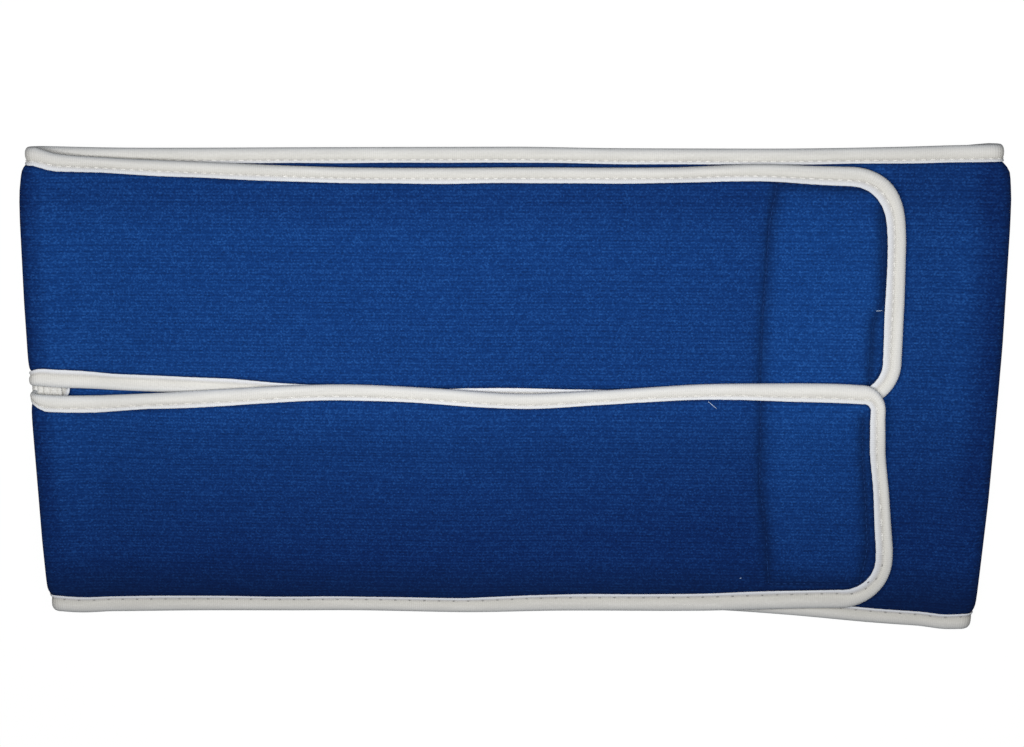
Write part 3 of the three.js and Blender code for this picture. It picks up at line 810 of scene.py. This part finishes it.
# Two copies of the same blue, one lit and one in painted shade, mixed by the painted shade below.
lit_blue = colour_ramp(knit_tree, shade, [
    (0.0, (0.0012, 0.0155, 0.082, 1)),
    (0.5, (0.0044, 0.0456, 0.212, 1)),
    (1.0, (0.018, 0.105, 0.38, 1)),
])
shaded_blue = colour_ramp(knit_tree, shade, [
    (0.0, (0.0004, 0.0055, 0.038, 1)),
    (0.5, (0.0015, 0.0185, 0.108, 1)),
    (1.0, (0.0075, 0.049, 0.205, 1)),
])
knit_place = knit_tree.nodes.new("ShaderNodeTexCoord")
place_x, place_y = split(knit_tree, knit_place.outputs["Object"])
# Painted shade and light: the blue is painted deeper toward the bottom, the top edge, the right and both
# folds, where less of the lamp's light falls, and painted paler over the hook pads.
painted_shade = total(
    knit_tree,
    spread(knit_tree, place_y, 0, -0.085, 0.31, 1.23),
    spread(knit_tree, place_y, 0.066, 0.079, 0, 0.3),
    spread(knit_tree, place_x, -0.2, 0.2, -0.2, 0.14),
    spread(knit_tree, place_x, -0.192, -0.201, 0, 0.8),
    spread(knit_tree, place_x, 0.187, 0.201, 0, 0.85),
    spread(knit_tree, place_x, 0.1, 0.115, 0, -0.45),
    spread(knit_tree, place_x, 0.152, 0.156, 0, 0.37),
)
yarn_with_painted_shade = mixed(knit_tree, painted_shade, lit_blue, shaded_blue)
# The painted shadow from that map darkens the blue toward a deep shadow blue.
line_shadow, _ = split(knit_tree, own_map(knit_tree, "shadow").outputs[0])
painted_shadow_blue = knit_tree.nodes.new("ShaderNodeRGB")
painted_shadow_blue.outputs[0].default_value = (0.0005, 0.006, 0.035, 1)
# Painted shade along the lower strap's bottom edge.
bottom_shade = spread(knit_tree, place_y, -0.0725, -0.0915, 0, 0.64)
knit_shadow = arithmetic(knit_tree, "MAXIMUM", line_shadow, bottom_shade)
shaded_yarn = mixed(knit_tree, knit_shadow, yarn_with_painted_shade, painted_shadow_blue.outputs[0])
knit_tree.links.new(shaded_yarn, knit_shader.inputs["Base Color"])
knit_height = total(knit_tree, arithmetic(knit_tree, "MULTIPLY", knit_row, 0.3), fleck)
add_bump(knit_tree, knit_shader, knit_height, 0.45, 0.0002)
panel.data.materials.append(knit_cloth)
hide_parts("panel")
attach(panel, "root")

# Edge binding.
# One woven white tape is folded over every edge of the panel and sewn through. Its outer side is
# a soft roll, the seam pulls a groove into it, and a narrow lip stands up inside the groove.
tape_rings = []
edge_step = 0.002
fold_step = 0.0006


def add_ring(upper, edge, s0, s_per_d, y0, y_per_d):
    """One line across the tape: s and y at the edge, and their change with the distance inwards."""
    tape_rings.append((upper, edge, s0, s_per_d, y0, y_per_d))


def follow_edge(upper, edge, start, end):
    """Rings along one edge, closer together round the folds."""
    side = (1 if upper else -1) * (1 if edge == "outer" else -1)
    low, high = min(start, end), max(start, end)
    fine_zones = [(under_start, under_end), (right_start, right_end), (slit_tip, left_end)]
    marks = [low, high]
    for zone in fine_zones:
        marks.extend([mark for mark in zone if low < mark < high])
    marks.sort()
    places = [low]
    for a, b in zip(marks[:-1], marks[1:]):
        middle = (a + b) / 2
        tight = any(zone[0] < middle < zone[1] for zone in fine_zones)
        count = max(1, math.ceil((b - a) / (fold_step if tight else edge_step)))
        places.extend(np.linspace(a, b, count + 1)[1:])
    if start > end:
        places.reverse()
    for s in places[1:-1]:
        add_ring(upper, edge, s, 0.0, 0.0, -side)


def round_corner(upper, edge, radius, strap_end_side, start_turn, end_turn):
    """Rings round a corner of a strap's end or of the free end."""
    side = (1 if upper else -1) * (1 if edge == "outer" else -1)
    for turn in np.linspace(start_turn, end_turn, 15):
        y0 = -side * radius * (1 - math.cos(turn))
        y_per_d = -side * math.cos(turn)
        reach = radius - radius * math.sin(turn)
        if strap_end_side:
            add_ring(upper, edge, band_length - reach, -math.sin(turn), y0, y_per_d)
        else:
            add_ring(upper, edge, reach, math.sin(turn), y0, y_per_d)


def cross_end(upper, s0, s_per_d, start_y, end_y):
    """Rings along the straight part of an end."""
    count = math.ceil(abs(end_y - start_y) / edge_step)
    for y in np.linspace(start_y, end_y, count + 1)[1:-1]:
        add_ring(upper, "none", s0, s_per_d, y, 0.0)


at_end = np.array([band_length])
upper_top, upper_slit, _ = (value[0] for value in cloth_edges(at_end, True))
lower_bottom, lower_slit, _ = (value[0] for value in cloth_edges(at_end, False))
free_top = cloth_edges(np.array([0.0]), True)[0][0]
free_bottom = cloth_edges(np.array([0.0]), False)[0][0]
follow_edge(True, "outer", free_corner, band_length - upper_corners[0])
round_corner(True, "outer", upper_corners[0], True, 0, quarter)
cross_end(True, band_length, -1, upper_top - upper_corners[0], upper_slit + upper_corners[1])
round_corner(True, "slit", upper_corners[1], True, quarter, 0)
follow_edge(True, "slit", band_length - upper_corners[1], slit_straight)
for turn in np.linspace(quarter, -quarter, 19):
    add_ring(
        turn > 0,
        "none",
        slit_straight - slit_radius * math.cos(turn),
        -math.cos(turn),
        slit_middle + slit_radius * math.sin(turn),
        math.sin(turn),
    )
follow_edge(False, "slit", slit_straight, band_length - lower_corners[1])
round_corner(False, "slit", lower_corners[1], True, 0, quarter)
cross_end(False, band_length, -1, lower_slit - lower_corners[1], lower_bottom + lower_corners[0])
round_corner(False, "outer", lower_corners[0], True, quarter, 0)
follow_edge(False, "outer", band_length - lower_corners[0], free_corner)
round_corner(False, "outer", free_corner, False, 0, quarter)
cross_end(True, 0.0, 1, free_bottom + free_corner, free_top - free_corner)
round_corner(True, "outer", free_corner, False, quarter, 0)
tape_rings.append(tape_rings[0])


def turn_at_end(s0, s_per_d):
    """How far a ring has turned from an edge into a strap's end, from 0 to 1."""
    return max(0.0, -s_per_d) if s0 > left_end + swell_run else 0.0


seam_row = 0.785
seam_shift_run = 0.02
outer_seam = 0.8
strap_seam_shift = 0.12
slit_seam = 0.74
upper_end_seam = 0.6
lower_end_seam = 0.58
ring_widths = []
seam_places = []
for upper, edge, s0, s_per_d, y0, y_per_d in tape_rings:
    turned = turn_at_end(s0, s_per_d)
    outer_tape, slit_tape = (float(width[0]) for width in tapes_at(np.array([s0]), upper))
    side_tape = {"outer": outer_tape, "slit": slit_tape, "none": body_slit_tape}[edge]
    end_tape = upper_end_tape if upper else lower_end_tape
    ring_widths.append(side_tape + turned * (end_tape - side_tape))
    over_strap = float(ease(s0, strap_start, strap_start + seam_shift_run)) if upper else 0.0
    side_seam = outer_seam - strap_seam_shift * over_strap if edge == "outer" else slit_seam
    end_seam = upper_end_seam if upper else lower_end_seam
    seam_places.append(side_seam + turned * (end_seam - side_seam))
ring_widths = np.array(ring_widths)
seam_places = np.array(seam_places)


def with_seam(share):
    """Moves a share of the tape's width so that the groove comes to where each ring has its seam."""
    inside = seam_places + (share - seam_row) * (1 - seam_places) / (1 - seam_row)
    return np.where(share < seam_row, share * seam_places / seam_row, inside)


def tape_points(share, n):
    """The tape's points at one share of its width and one height, ring by ring."""
    points = np.empty((len(tape_rings), 3))
    d = share * ring_widths
    n = np.broadcast_to(n, len(tape_rings))
    for upper in (True, False):
        chosen = [k for k, ring in enumerate(tape_rings) if ring[0] == upper]
        facts = np.array([tape_rings[k][2:] for k in chosen], dtype=float)
        s = facts[:, 0] + facts[:, 1] * d[chosen]
        s = np.clip(s, 0, band_length)
        outer, slit, _ = cloth_edges(s, upper)
        base = []
        for k, outer_y, slit_y in zip(chosen, outer, slit):
            base.append({"outer": outer_y, "slit": slit_y, "none": 0.0}[tape_rings[k][1]])
        y = np.array(base) + facts[:, 2] + facts[:, 3] * d[chosen]
        points[chosen] = fold(s, y, n[chosen], upper)
    return points


tape_line = tape_points(0.5, 0.0)
tape_run = np.concatenate([[0], np.cumsum(np.linalg.norm(np.diff(tape_line, axis=0), axis=1))])
tape_length = tape_run[-1]
stitch_pitch = 0.00376
long_stitch_pitch = 0.0063
stitch_count = round(tape_length / stitch_pitch)
whole_turn = 2 * np.pi * tape_run / tape_length
gather = np.sin(whole_turn * stitch_count)
slow_wave = np.sin(whole_turn * 61) + np.sin(whole_turn * 97 + 1)
gather_depth = 0.004
slow_wave_depth = 0.008
# Rows of the tape's section: share of its width, height over the cloth's middle, and how much the
# waves of its inner edge move it.
tape_half = [
    (0.965, 0.00085, 1.0),
    (0.995, 0.00112, 1.0),
    (0.985, 0.0014, 1.0),
    (0.93, 0.00152, 0.6),
    (0.87, 0.00142, 0.3),
    (0.82, 0.00112, 0.0),
    (0.75, 0.00113, 0.0),
    (0.68, 0.00146, 0.0),
    (0.56, 0.00166, 0.0),
    (0.42, 0.00172, 0.0),
    (0.3, 0.00168, 0.0),
    (0.2, 0.00153, 0.0),
    (0.11, 0.00122, 0.0),
    (0.05, 0.00088, 0.0),
    (0.015, 0.00048, 0.0),
]
tape_section = list(tape_half)
tape_section.append((0.0, 0.0, 0.0))
tape_section += [(share, -n, wave) for share, n, wave in reversed(tape_half)]
inside = 0.0007
tape_section += [(0.94, -inside, 1.0), (0.15, -inside, 0.0), (0.15, inside, 0.0), (0.94, inside, 1.0)]
tape_section.append(tape_section[0])

binding, ring, row = shaped_grid("binding_tape", tape_rings, tape_section)
tape_co = np.empty((len(ring), 3))
tape_across = np.empty(len(ring))
for k, (share, n, wave) in enumerate(tape_section):
    waved = share + wave * (gather_depth * gather + slow_wave_depth * slow_wave)
    points = tape_points(with_seam(waved), n)
    chosen = row == k
    tape_co[chosen] = points[ring[chosen]]
    tape_across[chosen] = share
binding.data.vertices.foreach_set("co", tape_co.ravel())
write_uv(binding, tape_run[ring], tape_across)

# Round the left fold the tape of the slit's end lies in small pleats over the binding.
pleat_turn = np.linspace(0, 1, 61)
pleat_y = np.linspace(-0.0072, 0.0045, 13)
pleat_start_x = -0.1908
pleat_fold_x = -0.1986
pleat_flat = 0.45
pleat_arc = 0.9 * quarter
pleat_pitch = 0.17
pleat_depth = 0.0005
pleat_radius = 0.0053
pleat_level = 0.0067
pleat_drop = 0.0016
pleat_centre = -0.0014
pleat_half_width = 0.0058
pleat_slant = 90
pleat_shift = 0.0015
pleat_thickness = 0.0008
pleats, column, row = shaped_grid("slit_pleats", pleat_turn, pleat_y)
turn = pleat_turn[column]
y = pleat_y[row]
angle = np.clip((turn - pleat_flat) / (1 - pleat_flat), 0, 1) * pleat_arc
pleat_wave = np.sin(2 * np.pi * turn / pleat_pitch + pleat_slant * (y + pleat_shift))
radius = pleat_radius + pleat_depth * pleat_wave * np.interp(turn, [0.25, 0.5], [0.2, 1])
pleat_x = np.interp(turn, [0, pleat_flat], [pleat_start_x, pleat_fold_x])
pleat_co = np.stack([
    pleat_x - radius * np.sin(angle),
    y,
    pleat_level + radius * np.cos(angle) - pleat_drop * ((y - pleat_centre) / pleat_half_width) ** 2,
], axis=-1)
pleats.data.vertices.foreach_set("co", pleat_co.ravel())
write_uv(pleats, y, 0.5 - 0.1 * np.cos(2 * np.pi * turn / pleat_pitch))
thicken(pleats, pleat_thickness, offset=-1)
join_and_close([binding, pleats], 0.000005)
bpy.ops.object.shade_smooth()

rib_pitch = 0.00085
binding_weave, tape_tree, tape_shader = new_finish("binding_weave", 0.85, 0.2)
tape_shader.inputs["Sheen Weight"].default_value = 0.03
tape_map = own_map(tape_tree, "cut")
along_tape, across_tape = split(tape_tree, tape_map.outputs[0])
rib = ridges(tape_tree, along_tape, rib_pitch)
rib_fade = pattern(tape_tree, tape_map, (60, 2.5, 1))
rib_amount = spread(tape_tree, rib_fade, 0.35, 0.65, 0.02, 0.12)
tape_fleck = pattern(tape_tree, tape_map, (900, 9, 1))
tape_soil = pattern(tape_tree, tape_map, (45, 3.5, 1), detail=3.0)
tape_place = tape_tree.nodes.new("ShaderNodeTexCoord")
_, tape_place_y = split(tape_tree, tape_place.outputs["Object"])
# Painted shade: the tape is brightest along the slit, painted darker toward the top and darker still toward
# the bottom; a fine noise varies it at random.
tape_tone_and_painted_shade = total(
    tape_tree,
    arithmetic(tape_tree, "MULTIPLY", rib, rib_amount),
    spread(tape_tree, tape_fleck, 0.3, 0.7, -0.09, 0.09),
    spread(tape_tree, tape_soil, 0.3, 0.7, -0.14, 0.14),
    spread(tape_tree, tape_place_y, 0, -0.1, 0.68, 0.06),
    spread(tape_tree, tape_place_y, 0, 0.1, 0, -0.34),
)
# Across its width the white is painted greyer at the roll's outer edge, where the roll turns from the
# light, as painted shade; it is also darker in the seam's groove and bluish at the inner lip.
soiled_and_shaded_white = colour_ramp(tape_tree, across_tape, [
    (0.0, (0.43, 0.45, 0.47, 1)),
    (0.2, (0.55, 0.55, 0.54, 1)),
    (0.45, (0.6, 0.59, 0.56, 1)),
    (0.68, (0.56, 0.55, 0.51, 1)),
    (0.78, (0.44, 0.43, 0.41, 1)),
    (0.88, (0.6, 0.61, 0.64, 1)),
    (1.0, (0.66, 0.69, 0.74, 1)),
])
clean_and_lit_white = colour_ramp(tape_tree, across_tape, [
    (0.0, (0.68, 0.7, 0.72, 1)),
    (0.3, (0.86, 0.855, 0.83, 1)),
    (0.68, (0.86, 0.845, 0.8, 1)),
    (0.78, (0.7, 0.685, 0.65, 1)),
    (0.88, (0.86, 0.87, 0.89, 1)),
    (1.0, (0.88, 0.91, 0.95, 1)),
])
tape_white = mixed(tape_tree, tape_tone_and_painted_shade, soiled_and_shaded_white, clean_and_lit_white)
tape_tree.links.new(tape_white, tape_shader.inputs["Base Color"])
rib_height = total(tape_tree, arithmetic(tape_tree, "MULTIPLY", rib, 0.5), tape_fleck)
add_bump(tape_tree, tape_shader, rib_height, 0.35, 0.00015)
binding.data.materials.append(binding_weave)
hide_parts("edge_binding")
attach(binding, "root")

# Tape seam.
# White lockstitches run along the tape's groove on both faces, longer ones on the lower half. On
# the bottom edge the thread has sunk in and only the needle holes show, and along the upper strap's
# slit it doesn't show at all. One stitch is modelled and copied along the seam.
bpy.ops.object.select_all(action="DESELECT")
bpy.ops.mesh.primitive_uv_sphere_add(segments=6, ring_count=4, radius=1)
tape_stitch = bpy.context.object
stitch_shape = np.array([vertex.co[:] for vertex in tape_stitch.data.vertices])
stitch_faces = [list(face.vertices) for face in tape_stitch.data.polygons]
bpy.ops.object.delete()


def sew(name, centres, forward, up, length, width, height):
    """Copies of the stitch, each turned along the seam and lying on the surface."""
    forward = forward / np.linalg.norm(forward, axis=1)[:, None]
    side = np.cross(up, forward)
    side = side / np.linalg.norm(side, axis=1)[:, None]
    rise = np.cross(forward, side)
    shape = stitch_shape * (width / 2, height / 2, length / 2)
    thread = (
        centres[:, None, :]
        + shape[None, :, 0:1] * side[:, None, :]
        + shape[None, :, 1:2] * rise[:, None, :]
        + shape[None, :, 2:3] * forward[:, None, :]
    )
    faces = []
    for k in range(len(centres)):
        faces.extend([[corner + k * len(stitch_shape) for corner in face] for face in stitch_faces])
    mesh = bpy.data.meshes.new(name)
    mesh.from_pydata(thread.reshape(-1, 3).tolist(), [], faces)
    seam = bpy.data.objects.new(name, mesh)
    bpy.context.collection.objects.link(seam)
    for face in mesh.polygons:
        face.use_smooth = True
    return seam


def runs_of(points):
    """Distance from the first point to each point, along them."""
    return np.concatenate([[0], np.cumsum(np.linalg.norm(np.diff(points, axis=0), axis=1))])


def places_on(points, wanted):
    """Places on the line through points, at distances from its start."""
    run = runs_of(points)
    return np.stack([np.interp(wanted, run, points[:, axis]) for axis in range(3)], axis=-1)


def stitch_places(points, pitch):
    """Centres and directions of the stitches of one pitch along a line of points."""
    length = runs_of(points)[-1]
    count = round(length / pitch)
    wanted = (np.arange(count) + 0.5) * length / count
    forward = places_on(points, wanted + pitch / 8) - places_on(points, wanted - pitch / 8)
    return places_on(points, wanted), forward


def plain_finish(name, dark, light, roughness):
    """The finish of thread, of the needle holes' painted shadow and of the dark speck: two shades in a fine
    noise.
    """
    finish, tree, shader = new_finish(name, roughness, 0.25)
    noise = tree.nodes.new("ShaderNodeTexNoise")
    noise.inputs["Scale"].default_value = 900
    tree.links.new(tree.nodes.new("ShaderNodeTexCoord").outputs["Object"], noise.inputs["Vector"])
    colour = colour_ramp(tree, noise.outputs["Fac"], [(0.3, dark), (0.7, light)])
    tree.links.new(colour, shader.inputs["Base Color"])
    return finish


seam_height = 0.00125
stitch_share = 0.68
stitch_width = 0.00062
stitch_height = 0.0006
hole_size = (0.0012, 0.0006, 0.0003)
seam_middle = tape_points(seam_places, 0.0)
white_thread = plain_finish("white_thread", (0.7, 0.69, 0.66, 1), (0.9, 0.89, 0.86, 1), 0.6)
needle_shadow = plain_finish("needle_shadow", (0.24, 0.24, 0.24, 1), (0.38, 0.37, 0.35, 1), 0.9)
seams = []
for face, face_height in (("top", seam_height), ("under", -seam_height)):
    line = tape_points(seam_places, face_height)
    for half_name, upper, pitch in (("upper", True, stitch_pitch), ("lower", False, long_stitch_pitch)):
        centres, forward = stitch_places(line, pitch)
        nearest = np.array([np.argmin(np.linalg.norm(line - centre, axis=1)) for centre in centres])
        up = (line - seam_middle)[nearest]
        on_half = np.array([bool(tape_rings[k][0]) == upper for k in nearest])
        sunk_edge = "slit" if upper else "outer"
        sunk = np.array([tape_rings[k][1] == sunk_edge for k in nearest])
        shown = on_half & ~sunk
        size = (stitch_share * pitch, stitch_width, stitch_height)
        stitches = sew(f"stitches_{half_name}_{face}", centres[shown], forward[shown], up[shown], *size)
        stitches.data.materials.append(white_thread)
        seams.append(stitches)
        if not upper:
            # The needle holes are small dark shapes on the tape: painted shadow in the holes.
            pierced = on_half & sunk
            places = (centres[pierced], forward[pierced], up[pierced])
            holes = sew(f"needle_holes_{face}", *places, *hole_size)
            holes.data.materials.append(needle_shadow)
            seams.append(holes)
for seam in seams:
    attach(seam, "root")

# Hook pads.
# Under each strap's end lies a pad of hook tape, with rows of stiff plastic hooks on its underside.
# It is sewn through the strap with blue thread, which dents the face and shows there as fine lines.
pad_margin = 0.0024
pad_thickness = 0.0011
hook_pitch = 0.0016
hook_row_pitch = 0.0012
patch_stitch_pitch = 0.0027
patch_stitch = (0.0021, 0.00042, 0.0003)
hook_tape, hook_tree, hook_shader = new_finish("hook_tape", 0.6, 0.4)
along_pad, across_pad = split(hook_tree, own_map(hook_tree, "cut").outputs[0])
hook_column = ridges(hook_tree, along_pad, hook_pitch)
hook_row = ridges(hook_tree, across_pad, hook_row_pitch)
hook_dots = arithmetic(hook_tree, "MULTIPLY", hook_column, hook_row)
hook_shade = spread(hook_tree, hook_dots, -1, 1, 0, 1)
hook_colour = colour_ramp(hook_tree, hook_shade, [
    (0.0, (0.004, 0.018, 0.075, 1)),
    (0.6, (0.008, 0.034, 0.13, 1)),
    (1.0, (0.02, 0.07, 0.22, 1)),
])
hook_tree.links.new(hook_colour, hook_shader.inputs["Base Color"])
add_bump(hook_tree, hook_shader, hook_dots, 0.8, 0.0004)

blue_thread = plain_finish("blue_thread", (0.003, 0.028, 0.135, 1), (0.006, 0.05, 0.21, 1), 0.8)
strap_route = (route_layer == STRAPS) & (route_s > strap_start + fold_run)


def route_at(x):
    """Places along the route of a strap's points, from their x."""
    return np.interp(x, route_x[strap_route], route_s[strap_route])


for upper in (True, False):
    side = 1 if upper else -1
    half_name = "upper" if upper else "lower"
    outer_corner, inner_corner = upper_corners if upper else lower_corners
    patch_places = np.linspace(band_length - pad_to, band_length - pad_from, 31)
    outer, slit, _ = cloth_edges(patch_places, upper)
    outer_tape, slit_tape = tapes_at(patch_places, upper)
    to_end = band_length - patch_places
    outer_line = outer - side * corner_inset(to_end, outer_corner, outer_tape + pad_margin)
    slit_line = slit + side * corner_inset(to_end, inner_corner, slit_tape + pad_margin)
    shares = np.linspace(0, 1, 49)
    ends = (slit_line, outer_line) if upper else (outer_line, slit_line)
    patch_lines = np.array([ends[0] * (1 - share) + ends[1] * share for share in shares])
    patch, column, row = shaped_grid(f"hook_pad_{half_name}", patch_places, patch_lines)
    s = patch_places[column]
    y = patch_lines[row, column]
    write_uv(patch, s, y)
    level = np.full(len(s), -half_cloth + pad_thickness / 2)
    patch.data.vertices.foreach_set("co", fold(s, y, level, upper).ravel())
    thicken(patch, pad_thickness)
    bpy.ops.object.shade_smooth()
    patch.data.materials.append(hook_tape)
    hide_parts(f"hook_patch_{half_name}")
    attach(patch, "root")

    thread_centres = []
    thread_forward = []
    for line in stitch_lines[upper]:
        corners = np.array([(x, y, 0.0) for x, y in line])
        centres, forward = stitch_places(corners, patch_stitch_pitch)
        thread_centres.append(centres)
        thread_forward.append(forward)
    flat_centres = np.concatenate(thread_centres)
    s = route_at(flat_centres[:, 0])
    y = flat_centres[:, 1]
    low_face = top_and_under(s, y, upper)[0]
    patch_seam = sew(
        f"patch_stitches_{half_name}",
        fold(s, y, low_face, upper),
        np.concatenate(thread_forward),
        np.tile([0.0, 0.0, 1.0], (len(s), 1)),
        *patch_stitch,
    )
    patch_seam.data.materials.append(blue_thread)
    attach(patch_seam, "root")

# Loose ends of thread.
# A few cut ends of pale thread stick out of the seams where the sewing stopped, and one small
# dark speck sits on the lower strap's corner.
pale_thread = plain_finish("pale_thread", (0.4, 0.52, 0.7, 1), (0.55, 0.68, 0.85, 1), 0.6)
upright = np.array([[0.0, 0.0, 1.0]])
thread_height = 0.0004
thread_rise = 0.0001
thread_size = (0.0003, 0.0002)
length_per_reach = 2.3
loose_ends = [
    # Each has its middle, and how far it reaches to each side.
    ((0.0851, -0.0043), (0.0018, -0.0015)),
    ((0.1524, 0.0351), (0.0015, 0.0001)),
    ((0.0991, -0.0805), (0.0004, 0.0001)),
]
for k, ((x, y), (reach_x, reach_y)) in enumerate(loose_ends):
    upper = y > 0
    s = route_at([x])
    surface = top_and_under(s, np.array([y]), upper)[0] + thread_height
    middle = fold(s, np.array([y]), surface, upper)
    reach = np.array([[reach_x, reach_y, thread_rise]])
    length = length_per_reach * math.hypot(reach_x, reach_y)
    loose_end = sew(f"loose_thread_{k}", middle, reach, upright, length, *thread_size)
    loose_end.data.materials.append(pale_thread)
    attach(loose_end, "root")

spot_x, spot_y, spot_height = 0.1529, -0.0813, 0.00185
spot_size = (0.0011, 0.0006, 0.0004)
spot_middle = fold(route_at([spot_x]), np.array([spot_y]), np.array([spot_height]), False)
spot = sew("dark_speck", spot_middle, np.array([[0.0006, 0.0005, 0.0]]), upright, *spot_size)
spot.data.materials.append(plain_finish("dark_speck_finish", (0.16, 0.16, 0.17, 1), (0.3, 0.29, 0.28, 1), 0.9))
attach(spot, "root")
